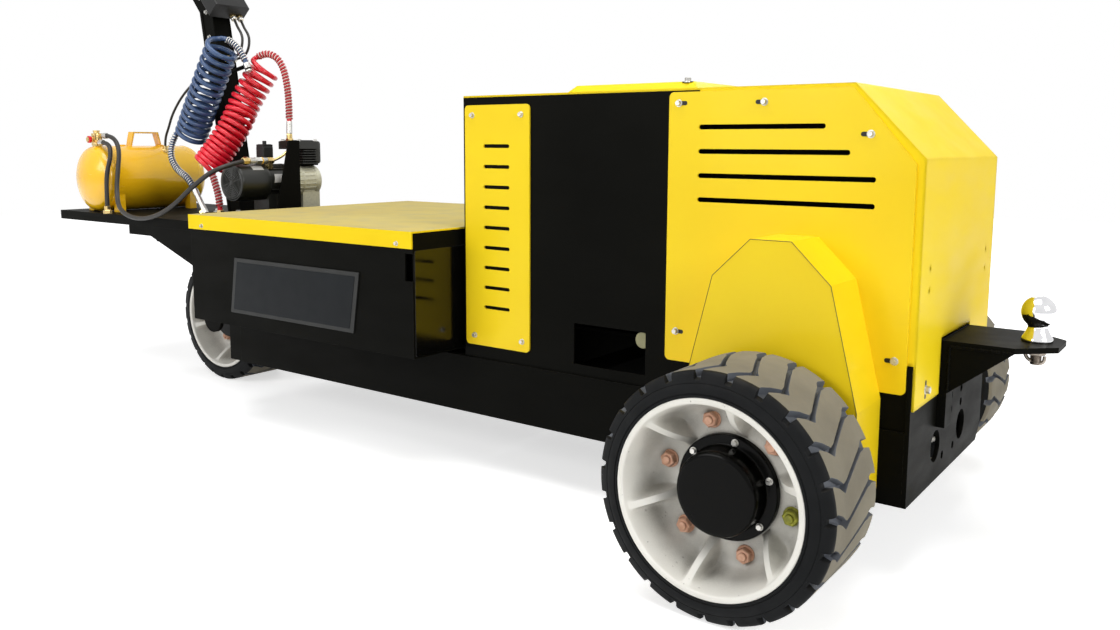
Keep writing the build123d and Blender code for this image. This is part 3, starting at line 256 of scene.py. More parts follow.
# Darker yellow for strips along the axle covers' folds: painted shade at the bend.
fold_shade = soft("fold_shade_line", colour(96, 88, 24), colour(74, 68, 20), 0.6, 200.0, 0.1, dust=0.05)
steel = metal("steel", (0.60, 0.59, 0.56, 1), (0.42, 0.41, 0.38, 1), 0.32, (1.0, 1.0, 8.0))
dark_steel = metal("dark_steel", (0.34, 0.30, 0.26, 1), (0.20, 0.17, 0.14, 1), 0.38, (1.0, 1.0, 6.0), 0.3)
rod_finish = metal("rod_steel", (0.26, 0.25, 0.13, 1), (0.16, 0.15, 0.09, 1), 0.45, (1.0, 1.0, 1.0), 0.3, 40.0, 0.5)
brass = metal("brass", (0.74, 0.56, 0.24, 1), (0.50, 0.36, 0.15, 1), 0.26, (1.0, 6.0, 1.0))
chrome = metal("chrome", (0.80, 0.80, 0.81, 1), (0.66, 0.66, 0.68, 1), 0.09, (1.0, 1.0, 2.0), 0.03)
cast = metal("cast_aluminium", colour(196, 194, 172), colour(180, 178, 158), 0.5, (1.0, 1.0, 1.0), 0.3, 420.0, 0.45)
olive_nut = metal("olive_nut", colour(150, 150, 40), colour(100, 100, 30), 0.5, (1.0, 1.0, 1.0), 0.5, 220.0, 0.3)
rusty = metal("wheel_nut", colour(218, 172, 146), colour(186, 138, 110), 0.5, (1.0, 1.0, 1.0), 0.4, 220.0, 0.25)


def cast_paint():
    """White paint on a rough casting, grey in its corners and deep dish: painted shade there, mixed with patchy dirt.
    """
    s = Shader("rim_paint")
    rounded, rim = s.edges(0.003)
    # Ambient occlusion darkens the corners and the deep dish as painted shade, and noise breaks it up as dirt.
    corner = s.add("ShaderNodeAmbientOcclusion", {"Distance": 0.08}, samples=6).outputs["AO"]
    dirt_and_shade = s.math("MULTIPLY", s.ramp(corner, 0.75, 0.2), s.ramp(s.noise(22.0, 8.0), 0.3, 0.6, 0.55, 0.95))
    body = s.mix(s.ramp(s.noise(6.0, 4.0), 0.35, 0.7), colour(242, 240, 232), colour(230, 227, 218))
    body = s.mix(dirt_and_shade, body, colour(84, 80, 71))
    spots = s.ramp(s.noise(130.0, 3.0), 0.7, 0.76, 0.0, 0.7)
    body = s.mix(spots, body, colour(110, 100, 88))
    grain = s.bump(s.noise(60.0, 6.0), 0.35, 0.0012, rounded)
    rough = s.ramp(s.noise(18.0, 5.0), 0.3, 0.7, 0.32, 0.5)
    return s.finish(**{"Base Color": body, "Roughness": rough, "Normal": grain})


rim_white = cast_paint()

NODE_FINISH = {
    yellow: ("vent_panels", "side_panels", "axle_covers"),
    lid_yellow_with_sheen: ("deck_lid",),
    hood_yellow: ("hood", "roof_cover"),
    black: (
        "chassis_frame", "rear_plate", "cabinet_shell", "drive_axle", "drive_motor", "steer_fork",
        "gooseneck", "platform", "battery_box", "coupling", "compressor_base", 
        "pump_head", "pump_bracket", "mast",
    ),
    motor_black: ("compressor_motor",),
    gloss_black: ("near_wheel_hub", "far_wheel_hub", "steer_wheel_hub"),
    rim_white: ("near_wheel_rim", "far_wheel_rim", "steer_wheel_rim"),
    black_plastic: ("battery_pack", "pressure_switch", "control_head", "handlebar"),
    sign_border: ("sign_plates",),
    tank_paint: ("air_tank",),
    chrome: ("tow_ball",),
    brass: ("tank_valve", "air_fittings", "tank_sender", "cable_glands"),
    cast: ("compressor_pump",),
}

for finish, names in NODE_FINISH.items():
    for node_name in names:
        mesh = nodes[node_name].data
        mesh.materials.clear()
        mesh.materials.append(finish)


# Shapes


def add_piece(name, bm, finish, body, sharp=35.0):
    """Makes an object of a bmesh, smooth but for its sharp edges, that rides on a body."""
    bmesh.ops.recalc_face_normals(bm, faces=bm.faces)
    limit = math.radians(sharp)
    for edge in bm.edges:
        edge.smooth = len(edge.link_faces) == 2 and edge.calc_face_angle() < limit
    for face in bm.faces:
        face.smooth = True
    mesh = bpy.data.meshes.new(name)
    bm.to_mesh(mesh)
    bm.free()
    for one in finish if isinstance(finish, (list, tuple)) else [finish]:
        mesh.materials.append(one)
    piece = bpy.data.objects.new(name, mesh)
    bpy.context.scene.collection.objects.link(piece)
    piece.modifiers.new("normals", "WEIGHTED_NORMAL").keep_sharp = True
    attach(piece, body)
    return piece


def stand(place, direction, turn=0.0):
    """Matrix that puts local +Z along a direction at a place."""
    axis = Vector(direction).normalized()
    rotation = axis.to_track_quat("Z", "Y") @ Quaternion((0, 0, 1), turn)
    return Matrix.Translation(place) @ rotation.to_matrix().to_4x4()


def lathe(bm, profile, place, direction, steps=48, turn=0.0, mark=0):
    """Turns (radius, height) points about a direction. A radius of 0 closes the end."""
    matrix = stand(place, direction, turn)
    rings = []
    for radius, height in profile:
        if radius == 0:
            rings.append([bm.verts.new(matrix @ Vector((0, 0, height)))])
            continue
        angles = [2 * math.pi * step / steps for step in range(steps)]
        points = [Vector((radius * math.cos(a), radius * math.sin(a), height)) for a in angles]
        rings.append([bm.verts.new(matrix @ point) for point in points])
    for low, high in zip(rings, rings[1:]):
        for step in range(steps):
            after = (step + 1) % steps
            if len(low) == 1:
                face = bm.faces.new((low[0], high[step], high[after]))
            elif len(high) == 1:
                face = bm.faces.new((low[step], low[after], high[0]))
            else:
                face = bm.faces.new((low[step], low[after], high[after], high[step]))
            face.material_index = mark


def hex_head(bm, place, direction, across, height, washer=0.0, turn=0.0, sunk=0.001):
    """A hexagon head with a chamfered top, on a washer where washer is its radius."""
    radius = across / math.sqrt(3)
    start = 0.0
    if washer:
        start = across * 0.12
        rim = start * 0.3
        profile = [(washer, -sunk), (washer, start - rim), (washer - rim, start), (0, start)]
        lathe(bm, profile, place, direction, 28)
    profile = [
        (radius, start - sunk),
        (radius, start + height * 0.85),
        (radius * 0.87, start + height),
        (radius * 0.5, start + height),
        (0, start + height * 0.93),
    ]
    lathe(bm, profile, place, direction, 6, turn)


def slab(bm, low, high, bevel=0.0):
    """A box between two corners, with its edges rounded by bevel."""
    low, high = Vector(low), Vector(high)
    made = bmesh.ops.create_cube(bm, size=1.0)["verts"]
    for vert in made:
        vert.co = Vector(((low[i] + high[i]) / 2 + vert.co[i] * (high[i] - low[i]) for i in range(3)))
    if bevel:
        edges = list({edge for vert in made for edge in vert.link_edges})
        bmesh.ops.bevel(bm, geom=edges, offset=bevel, segments=3, affect="EDGES", profile=0.5)


# Hoses and cables, made first of all. Route points are metres in the part's frame


def spline_object(name, points, radius, finish=None, resolution=8):
    """A smooth curve object with the points as its control points."""
    data = bpy.data.curves.new(name, "CURVE")
    data.dimensions = "3D"
    data.resolution_u = resolution
    data.bevel_depth = radius
    data.bevel_resolution = 4
    data.use_fill_caps = True
    spline = data.splines.new("NURBS")
    spline.points.add(len(points) - 1)
    for point, place in zip(spline.points, points):
        point.co = (*place, 1.0)
    spline.order_u = 3
    spline.use_endpoint_u = True
    if finish:
        data.materials.append(finish)
    piece = bpy.data.objects.new(name, data)
    bpy.context.scene.collection.objects.link(piece)
    return piece


def sampled(points, resolution=16):
    """Points along the smooth line that runs by the control points."""
    line = spline_object("route", points, 0.0, resolution=resolution)
    bpy.context.view_layer.update()
    depsgraph = bpy.context.evaluated_depsgraph_get()
    mesh = bpy.data.meshes.new_from_object(line.evaluated_get(depsgraph))
    found = [vert.co.copy() for vert in mesh.vertices]
    data = line.data
    bpy.data.objects.remove(line)
    bpy.data.curves.remove(data)
    bpy.data.meshes.remove(mesh)
    return found


def line_length(points):
    return sum((after - before).length for before, after in zip(points, points[1:]))


def helix(line, radius, turns, per_turn, start, hand=1, spread=0.0):
    """Points wound round a line, start being the first angle in turns. Spread opens the first turns."""
    lengths = [0.0]
    for before, after in zip(line, line[1:]):
        lengths.append(lengths[-1] + (after - before).length)
    side = (line[1] - line[0]).normalized().orthogonal().normalized()
    count = round(turns * per_turn)
    found = []
    index = 0
    for step in range(count + 1):
        along = lengths[-1] * ((1 + spread) * step / count - spread * (step / count) ** 2)
        while index < len(lengths) - 2 and lengths[index + 1] < along:
            index += 1
        share = (along - lengths[index]) / (lengths[index + 1] - lengths[index])
        centre = line[index].lerp(line[index + 1], share)
        axis = (line[index + 1] - line[index]).normalized()
        side = (side - axis * side.dot(axis)).normalized()
        up = axis.cross(side)
        angle = 2 * math.pi * (start + hand * step / per_turn)
        found.append(centre + side * (radius * math.cos(angle)) + up * (radius * math.sin(angle)))
    return found


def start_angle(line, radius, target):
    """Turns at which a helix on the line starts nearest to a target."""
    axis = (line[1] - line[0]).normalized()
    side = axis.orthogonal().normalized()
    up = axis.cross(side)
    offset = target - line[0]
    return math.atan2(offset.dot(up), offset.dot(side)) / (2 * math.pi)


def vectors(rows):
    return [Vector(row) for row in rows]


AIR_LINE = [
    (-1.3070, -0.2015, 0.7733),
    (-1.2565, -0.2016, 0.7736),
    (-1.2130, -0.2047, 0.7319),
    (-1.2065, -0.2198, 0.6552),
    (-1.1900, -0.2359, 0.5896),
    (-1.1296, -0.2640, 0.5409),
    (-1.0405, -0.2715, 0.5174),
    (-0.9350, -0.2726, 0.5227),
    (-0.8305, -0.2687, 0.5581),
    (-0.7350, -0.2558, 0.6254),
    (-0.6485, -0.2279, 0.6837),
    (-0.6460, -0.1360, 0.6990),
]
LOOP_LINE = [
    (-1.3070, -0.2155, 0.7513),
    (-1.2570, -0.2156, 0.7514),
    (-1.2260, -0.2277, 0.7116),
    (-1.2360, -0.2398, 0.6547),
    (-1.2320, -0.2459, 0.5999),
    (-1.2320, -0.2460, 0.5470),
]
BLUE_TOP = [
    (-0.7450, -0.0480, 0.9900),
    (-0.7591, -0.0506, 1.0207),
    (-0.7859, -0.0584, 1.0513),
    (-0.8240, -0.0650, 1.0710),
]
BLUE_AXIS = [
    (-0.8010, -0.0900, 1.0440),
    (-0.9050, -0.0900, 0.9030),
    (-0.9940, -0.0900, 0.7670),
]
BLUE_FOOT = [
    (-1.0190, -0.1210, 0.7840),
    (-1.0400, -0.1298, 0.7432),
    (-1.0340, -0.1356, 0.6984),
    (-0.9980, -0.1344, 0.6626),
    (-0.9460, -0.1322, 0.6418),
    (-0.9190, -0.1300, 0.6050),
]
RED_TOP = [
    (-0.6760, 0.0490, 0.7770),
    (-0.6767, 0.0514, 0.8342),
    (-0.6784, 0.0524, 0.8927),
    (-0.6811, 0.0488, 0.9409),
    (-0.6869, 0.0432, 0.9821),
    (-0.7016, 0.0326, 1.0143),
    (-0.7323, 0.0176, 1.0288),
    (-0.7670, 0.0020, 1.0140),
]
RED_AXIS = [
    (-0.7420, 0.0180, 0.9850),
    (-0.7970, -0.0200, 0.8850),
    (-0.7920, -0.0700, 0.7850),
    (-0.8460, -0.1280, 0.6820),
]
RED_FOOT = [
    (-0.8110, -0.1390, 0.6620),
    (-0.8011, -0.1360, 0.6291),
    (-0.7919, -0.1310, 0.5880),
    (-0.7900, -0.1300, 0.5470),
]
MAST_LEAD = [
    (-0.9861, 0.0000, 0.9769),
    (-1.0400, 0.0000, 0.9678),
    (-1.1118, 0.0020, 0.9455),
    (-1.1796, 0.0030, 0.9044),
    (-1.2365, 0.0020, 0.8484),
    (-1.2623, 0.0010, 0.8004),
    (-1.2832, 0.0000, 0.7680),
    (-1.2850, 0.0000, 0.7410),
]
NEAR_HEAD_LEAD = [
    (-0.8895, 0.0180, 1.1384),
    (-0.8715, 0.0142, 1.1152),
    (-0.8476, 0.0101, 1.0957),
    (-0.8347, 0.0060, 1.0743),
    (-0.8378, 0.0017, 1.0426),
    (-0.8609, -0.0026, 1.0189),
    (-0.8958, -0.0060, 1.0181),
]
FAR_HEAD_LEAD = [
    (-0.8895, 0.0420, 1.1384),
    (-0.8715, 0.0385, 1.1152),
    (-0.8476, 0.0347, 1.0957),
    (-0.8347, 0.0310, 1.0743),
    (-0.8378, 0.0270, 1.0426),
    (-0.8609, 0.0231, 1.0189),
    (-0.8958, 0.0200, 1.0181),
]
HOSE = 0.014
COIL_HOSE = 0.015
LEAD = 0.008
COIL_POINTS = 14


def plain_line(name, points, diameter, finish, body, node):
    """A hose or cable of one plain smooth line that stands for one CAD node."""
    piece = spline_object(name, points, diameter / 2, finish)
    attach(piece, body)
    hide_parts(node)
    return piece


def stretch_of(line, low, high):
    """The part of a line between two distances along it."""
    found = []
    run = 0.0
    for before, after in zip(line, line[1:]):
        run += (after - before).length
        if low <= run <= high:
            found.append(after)
    return found


def guard(name, line, wire, pitch, finish, start):
    """A spring guard: one wire wound round a stretch of hose, close to it."""
    radius = COIL_HOSE / 2 + wire / 2 - 0.0003
    points = helix(line, radius, line_length(line) / pitch, 12, start)
    piece = spline_object(name, points, wire / 2, finish, 2)
    piece.data.bevel_resolution = 1
    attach(piece, "chassis")
    return piece


def coiled_line(name, top, axis, foot, outer, turns, spread, finish, replaced, guards):
    """A coiled air hose: its upper end, its turns round an axis and its lower end on one spline."""
    radius = (outer - COIL_HOSE) / 2 / math.cos(math.pi / COIL_POINTS)
    line = sampled(vectors(axis))
    start = start_angle(line, radius, Vector(top[-1]))
    best = None
    for extra in range(-COIL_POINTS // 2, COIL_POINTS // 2):
        wanted = turns + extra / COIL_POINTS
        found = helix(line, radius, wanted, COIL_POINTS, start, -1, spread)
        miss = (found[-1] - Vector(foot[0])).length
        if best is None or miss < best[0]:
            best = (miss, found)
    coil = best[1][1:-1]
    points = vectors(top) + coil + vectors(foot)
    piece = spline_object(name, points, COIL_HOSE / 2, finish, 4)
    whole = sampled(points, 6)
    total = line_length(whole)
    for guard_name, low, high, wire, pitch, guard_finish, guard_slot, turn in guards:
        low, high = (low, high) if low > 0 else (total + low, total + high)
        guard(guard_name, stretch_of(whole, low, high), wire, pitch, guard_finish, turn)
    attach(piece, "chassis")
    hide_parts(*replaced)
    return piece


plain_line("air_line", AIR_LINE, HOSE, hose_rubber, "chassis", "air_hose")
plain_line("loop_line", LOOP_LINE, HOSE, hose_rubber, "chassis", "loop_hose")
plain_line("mast_lead", MAST_LEAD, LEAD, hose_rubber, "chassis", "mast_cable")
plain_line(
    "near_head_lead", NEAR_HEAD_LEAD, LEAD, hose_rubber, "chassis", "near_head_cable"
)
plain_line(
    "far_head_lead", FAR_HEAD_LEAD, LEAD, hose_rubber, "chassis", "far_head_cable"
)
blue_hose = coiled_line(
    "blue_hose", BLUE_TOP, BLUE_AXIS, BLUE_FOOT, 0.102, 14.0, 0.2, blue_plastic,
    ["blue_coil", "blue_low_tail", "blue_high_tail"],
    [
        ("blue_low_guard", -0.236, -0.003, 0.0042, 0.0085, steel, "steel", 0.0),
        ("blue_high_guard", 0.003, 0.112, 0.0042, 0.0085, steel, "steel", 0.0),
    ],
)
red_hose = coiled_line(
    "red_hose", RED_TOP, RED_AXIS, RED_FOOT, 0.098, 18.5, 0.3, red_plastic,
    ["red_coil", "red_low_tail", "red_high_tail"],
    [
        ("red_low_guard", -0.118, -0.003, 0.0046, 0.0092, red_guard, "red_hose", 0.0),
        ("red_low_pale", -0.118, -0.003, 0.0034, 0.0092, pale_guard, "red_hose", 0.5),
        ("red_high_guard", 0.043, 0.312, 0.0046, 0.0092, red_guard, "red_hose", 0.0),
        ("red_high_pale", 0.043, 0.312, 0.0034, 0.0092, pale_guard, "red_hose", 0.5),
    ],
)


# Wheels: tyres with zigzag grooves, cast rims with six ribs, hubs, nuts and bolts

WHEELS = {
    "near_wheel": (Vector((1.124, -0.594, 0.203)), -1, 0.0),
    "far_wheel": (Vector((1.124, 0.594, 0.203)), 1, 0.0),
    "steer_wheel": (Vector((-0.861, -0.102, 0.203)), -1, 0.01705),
}
TREAD_RADIUS = 0.203
WHEEL_WIDTH = 0.204
BEAD_RADIUS = 0.1623
GROOVES = 23
FIRST_GROOVE = 96.2
GROOVE_DEPTH = 0.012
BLOCK_COLUMNS = 5
ZIGZAG = [
    (0.0, 0.0), (0.11, 1.0), (0.20, -1.2), (0.29, -4.7), (0.43, -1.3),
    (0.60, 2.4), (0.75, 5.4), (0.83, 6.8), (1.0, 4.6),
]
# Tread rows: share of the width, radius, share of the groove's depth
TREAD_ROWS = [
    (0.034, 0.1960, 0.5), (0.045, 0.1990, 0.7), (0.056, 0.2013, 0.9), (0.07, 0.2026, 1.0),
    (0.09, 0.2030, 1.0), (0.11, 0.2030, 1.0), (0.155, 0.2030, 1.0), (0.20, 0.2030, 1.0),
    (0.245, 0.2030, 1.0), (0.29, 0.2030, 1.0), (0.36, 0.2030, 1.0), (0.43, 0.2030, 1.0),
    (0.515, 0.2030, 1.0), (0.60, 0.2030, 1.0), (0.675, 0.2030, 1.0), (0.75, 0.2030, 1.0),
    (0.79, 0.2030, 1.0), (0.83, 0.2030, 1.0), (0.88, 0.2030, 1.0), (0.93, 0.2026, 1.0),
    (0.944, 0.2013, 0.9), (0.955, 0.1990, 0.7), (0.966, 0.1960, 0.5),
]
# Sidewall rows: radius, distance in from the face
SIDE_ROWS = [
    (0.1890, 0.0048), (0.1850, 0.0036), (0.1842, 0.0044), (0.1826, 0.0030), (0.1760, 0.0012),
    (0.1690, 0.0006), (0.1682, 0.0022), (0.1668, 0.0022), (0.1660, 0.0006), (0.1634, 0.0004),
    (BEAD_RADIUS, 0.0016),
]


def along_rows(rows, value):
    """Reads a value off (place, value) rows with straight runs between them."""
    for (place, low), (after, high) in zip(rows, rows[1:]):
        if value <= after:
            return low + (high - low) * (value - place) / (after - place)
    return rows[-1][1]


def ring_of_faces(bm, low, high, mark=0):
    """Joins two rings of the same count, and gives the faces a material."""
    for step in range(len(low)):
        after = (step + 1) % len(low)
        face = bm.faces.new((low[step], low[after], high[after], high[step]))
        face.material_index = mark


def make_tyre(name, face, outward):
    """A solid tyre: zigzag grooves cut its tread and run out over its shoulders."""
    bm = bmesh.new()
    pitch = 360 / GROOVES
    columns = []
    for groove in range(GROOVES):
        columns += [(groove, -1.0, 0.0), (groove, -0.8, 1.0), (groove, 0.8, 1.0), (groove, 1.0, 0.0)]
        columns += [(groove, None, (step + 1) / (BLOCK_COLUMNS + 1)) for step in range(BLOCK_COLUMNS)]

    def ring(share, radius, inset, depth):
        middle = FIRST_GROOVE + along_rows(ZIGZAG, share)
        half = 2.0 if share < 0.3 or share > 0.76 else 1.2
        found = []
        for groove, place, value in columns:
            angle = middle + groove * pitch
            low = 0.0
            if place is None:
                angle += half + (pitch - 2 * half) * value
            else:
                angle += half * place
                low = depth * value
            angle = math.radians(angle)
            place = (
                face.x + (radius - low) * math.cos(angle),
                face.y - outward * inset,
                face.z + (radius - low) * math.sin(angle),
            )
            found.append(bm.verts.new(place))
        return found

    tread = [ring(share, radius, share * WHEEL_WIDTH, GROOVE_DEPTH * cut) for share, radius, cut in TREAD_ROWS]
    outer = [ring(0.0, radius, inset, 0.0) for radius, inset in SIDE_ROWS]
    inner = [ring(1.0, radius, WHEEL_WIDTH - inset, 0.0) for radius, inset in SIDE_ROWS]
    for (share, radius, cut), low, high in zip(TREAD_ROWS, tread, tread[1:]):
        for step in range(len(columns)):
            after = (step + 1) % len(columns)
            made = bm.faces.new((low[step], low[after], high[after], high[step]))
            grooved = columns[step][1] is not None and columns[step][1] < 0.9
            made.material_index = 2 if grooved else 1
            if share < 0.085:
                made.material_index = 0
    for low, high in zip([tread[0]] + outer, outer):
        ring_of_faces(bm, low, high)
    for low, high in zip([tread[-1]] + inner, inner):
        ring_of_faces(bm, low, high)
    ring_of_faces(bm, outer[-1], inner[-1])
    piece = add_piece(f"{name}_tread", bm, [tread_side, tread_top, tread_floor], name, 30.0)
    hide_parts(f"{name}_tyre")


RIB_COUNT = 6
RIB_ANGLE = 17.0
NUT_ANGLE = 47.0
LIP_RADIUS = 0.1525
# Dish rows: radius, depth in from the face
DISH_ROWS = [
    (0.1608, 0.0), (0.1540, 0.0), (0.1525, 0.0008), (0.1515, 0.0025), (0.1508, 0.006), (0.1500, 0.012),
    (0.1490, 0.020), (0.1478, 0.030), (0.1464, 0.041), (0.1446, 0.052), (0.1420, 0.062), (0.1380, 0.070),
    (0.1325, 0.0765), (0.1260, 0.0805), (0.1180, 0.0826), (0.1090, 0.0836), (0.1000, 0.084),
    (0.0900, 0.084), (0.0703, 0.084),
]
RIB_FROM, RIB_TO = 4, 17
RIB_OFFSETS = [-0.024, -0.019, -0.0155, -0.013, -0.0112, -0.0096, -0.0080, -0.0062, -0.003, 0.0,
               0.003, 0.0062, 0.0080, 0.0096, 0.0112, 0.013, 0.0155, 0.019, 0.024]
BAY_COLUMNS = 9


def rib_share(offset):
    """How far the surface is lifted to the rib's ridge at a distance to the side of it."""
    away = max(0.0, min(1.0, (abs(offset) - 0.0068) / 0.0120))
    return (1 - away) ** 2.6 if away > 0 else 1.0


def make_rim(name, face, outward):
    """A cast rim: a flat lip, a deep dish and ribs that slope from the lip down to the hub."""
    bm = bmesh.new()
    ridge_start, ridge_end = Vector(DISH_ROWS[RIB_FROM]), Vector(DISH_ROWS[RIB_TO])
    rows = []
    for index, (radius, depth) in enumerate(DISH_ROWS):
        ring = []
        for rib in range(RIB_COUNT):
            middle = math.radians(RIB_ANGLE + rib * 360 / RIB_COUNT)
            limit = math.asin(RIB_OFFSETS[-1] / radius)
            places = [(math.asin(offset / radius), offset) for offset in RIB_OFFSETS]
            bay = 2 * math.pi / RIB_COUNT - 2 * limit
            places += [(limit + bay * (step + 1) / (BAY_COLUMNS + 1), 1.0) for step in range(BAY_COLUMNS)]
            for turn, offset in places:
                place = Vector((radius, depth))
                if RIB_FROM <= index <= RIB_TO:
                    along = (index - RIB_FROM) / (RIB_TO - RIB_FROM)
                    along = 0.5 * along + 0.5 * (ridge_start.x - radius) / (ridge_start.x - ridge_end.x)
                    ridge = ridge_start.lerp(ridge_end, along)
                    ridge.y -= 0.008 * math.sin(math.pi * along)
                    place = place.lerp(ridge, rib_share(offset))
                angle = middle + turn
                ring.append(
                    bm.verts.new((
                        face.x + place.x * math.cos(angle),
                        face.y - outward * place.y,
                        face.z + place.x * math.sin(angle),
                    ))
                )
        rows.append(ring)
    for low, high in zip(rows, rows[1:]):
        ring_of_faces(bm, low, high)
    back = [
        (0.0703, 0.084), (0.0703, 0.098), (0.135, 0.098), (0.144, 0.101), (0.149, 0.108), (0.151, 0.118),
        (0.151, 0.200), (0.1525, 0.204), (0.1605, 0.204), (0.162, 0.2025), (0.162, 0.0012), (0.1608, 0.0),
    ]
    lathe(bm, back, face, (0, -outward, 0), 96)
    piece = add_piece(f"{name}_dish", bm, rim_white, name, 40.0)
    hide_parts(f"{name}_rim")


def make_hub(name, face, outward, bore):
    """The hub's glossy cap and flange, with round edges."""
    bm = bmesh.new()
    middle = [(bore, 0.0292)] if bore else [(0, 0.029), (0.028, 0.029)]
    profile = middle + [
        (0.061, 0.0292), (0.0652, 0.0302), (0.0682, 0.0324), (0.0696, 0.0354), (0.07, 0.040),
        (0.07, 0.066), (0.0708, 0.0698), (0.0732, 0.0718), (0.0845, 0.072), (0.0868, 0.0728),
        (0.088, 0.075), (0.088, 0.0838), (0.07, 0.0838), (0.07, 0.1088), (0.0688, 0.11),
    ]
    profile += [(bore, 0.11)] if bore else [(0.02105, 0.11), (0.02105, 0.0515), (0, 0.0515)]
    if bore:
        profile.append(middle[0])
    lathe(bm, profile, face, (0, -outward, 0), 96)
    piece = add_piece(f"{name}_cap", bm, gloss_black, name, 40.0)
    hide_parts(f"{name}_hub")


def make_wheel_bolts(name, face, outward):
    """Six wheel nuts on the web and six small bolts on the hub's flange."""
    out = (0, outward, 0)
    for number in range(RIB_COUNT):
        angle = math.radians(NUT_ANGLE + number * 360 / RIB_COUNT)
        place = Vector((math.cos(angle) * 0.112, 0, math.sin(angle) * 0.112)) + face
        place.y = face.y - outward * 0.084
        bm = bmesh.new()
        turn = 0.4 * number
        lathe(bm, [(0.0155, -0.002), (0.0155, 0.002), (0.0145, 0.0028), (0, 0.0028)], place, out, 32)
        hex_head(bm, place, out, 0.0235, 0.0135, 0.0, turn)
        lathe(bm, [(0.0072, 0.0), (0.0072, 0.0165), (0.006, 0.0175), (0, 0.0175)], place, out, 20)
        finish = olive_nut if number == 5 and name == "near_wheel" else rusty
        add_piece(f"{name}_nut_{number + 1}", bm, finish, name)
    bm = bmesh.new()
    for number in range(RIB_COUNT):
        angle = math.radians(20 + number * 360 / RIB_COUNT)
        place = Vector((math.cos(angle) * 0.0785, 0, math.sin(angle) * 0.0785)) + face
        place.y = face.y - outward * 0.072
        hex_head(bm, place, out, 0.0092, 0.0045, 0.0062, 0.3 * number)
    add_piece(f"{name}_flange_bolts", bm, steel, name)


for wheel, (face, outward, bore) in WHEELS.items():
    make_tyre(wheel, face, outward)
    make_rim(wheel, face, outward)
    make_hub(wheel, face, outward, bore)
    make_wheel_bolts(wheel, face, outward)




# Sheet metal: bolts with painted shade in their slots, sign, and painted shade along seams and folds


def pan_bolt(bm, place, direction, radius, turn=0.0):
    """A hexagon bolt with a flange, as used on the panels."""
    hex_head(bm, place, direction, radius * 1.35, radius * 0.85, radius, turn)


def slot_shade_patch(bm, place, along, up, length, height, out):
    """A thin dark plate with round ends behind a bolt: painted shade for the hollow of the slot."""
    place, along, up, out = Vector(place), Vector(along), Vector(up), Vector(out)
    ring = []
    for step in range(20):
        angle = 2 * math.pi * (step + 0.5) / 20
        shift = (length - height) / 2 * (1 if math.cos(angle) > 0 else -1)
        point = along * (shift + math.cos(angle) * height / 2) + up * (math.sin(angle) * height / 2)
        ring.append(bm.verts.new(place + point + out * 0.0003))
    back = [bm.verts.new(vert.co - out * 0.0015) for vert in ring]
    bm.faces.new(ring)
    for step in range(20):
        after = (step + 1) % 20
        bm.faces.new((ring[after], ring[step], back[step], back[after]))


PANEL_Y = 0.26
HOOD_X = 1.337
LID_Y = 0.408
SIDE_BOLTS = [(0.877, 0.829), (1.051, 0.828), (1.245, 0.770), (0.879, 0.390), (1.302, 0.388)]
SLOT_SHIFTS = [0.007, -0.006, -0.006, 0.006, -0.006]
VENT_BOLTS = [(0.355, 0.814), (0.493, 0.814), (0.359, 0.319), (0.496, 0.320)]
LID_BOLTS = [(-0.465, 0.534), (0.262, 0.534)]

bolts = bmesh.new()
slot_shades = bmesh.new()
for side in (-1, 1):
    out = (0, side, 0)
    for number, (x, z) in enumerate(SIDE_BOLTS):
        pan_bolt(bolts, (x, side * PANEL_Y, z), out, 0.0072, number * 0.4)
        place = (x + SLOT_SHIFTS[number], side * PANEL_Y, z)
        slot_shade_patch(slot_shades, place, (1, 0, 0), (0, 0, 1), 0.022, 0.008, out)
    for number, (x, z) in enumerate(VENT_BOLTS):
        pan_bolt(bolts, (x, side * PANEL_Y, z), out, 0.0066, number * 0.7)
    for number, (x, z) in enumerate(LID_BOLTS):
        pan_bolt(bolts, (x, side * LID_Y, z), out, 0.0055, number)
    pan_bolt(bolts, (HOOD_X, side * 0.190, 0.330), (1, 0, 0), 0.0085, 0.3)
    slot_shade_patch(slot_shades, (HOOD_X, side * 0.190, 0.330), (0, 0, 1), (0, 1, 0), 0.034, 0.009, (1, 0, 0))
    pan_bolt(bolts, (0.882, side * 0.236, 0.8702), (0, 0, 1), 0.008, 0.5)
    slot_shade_patch(slot_shades, (0.882, side * 0.236, 0.8705), (1, 0, 0), (0, 1, 0), 0.024, 0.009, (0, 0, 1))
add_piece("panel_bolts", bolts, steel, "chassis")
# Dark plates in the slots: painted shade.
add_piece("bolt_slot_shades", slot_shades, black_plastic, "chassis")


def flat_plate(bm, points, axis, place, thickness, bevel=0.0, mark=0):
    """A plate of an outline in the two axes left over by axis, thick towards the sign of thickness."""
    order = {"x": (1, 2, 0), "y": (0, 2, 1), "z": (0, 1, 2)}[axis]

    def corner(point, height):
        where = [0.0, 0.0, 0.0]
        where[order[0]], where[order[1]], where[order[2]] = point[0], point[1], height
        return bm.verts.new(where)

    back = [corner(point, place) for point in points]
    front = [corner(point, place + thickness) for point in points]
    made = [bm.faces.new(front), bm.faces.new(list(reversed(back)))]
    for step in range(len(points)):
        after = (step + 1) % len(points)
        made.append(bm.faces.new((back[step], back[after], front[after], front[step])))
    for face in made:
        face.material_index = mark
    if bevel:
        rim = [edge for edge in made[0].edges]
        bmesh.ops.bevel(bm, geom=rim, offset=bevel, segments=2, affect="EDGES", profile=0.5)


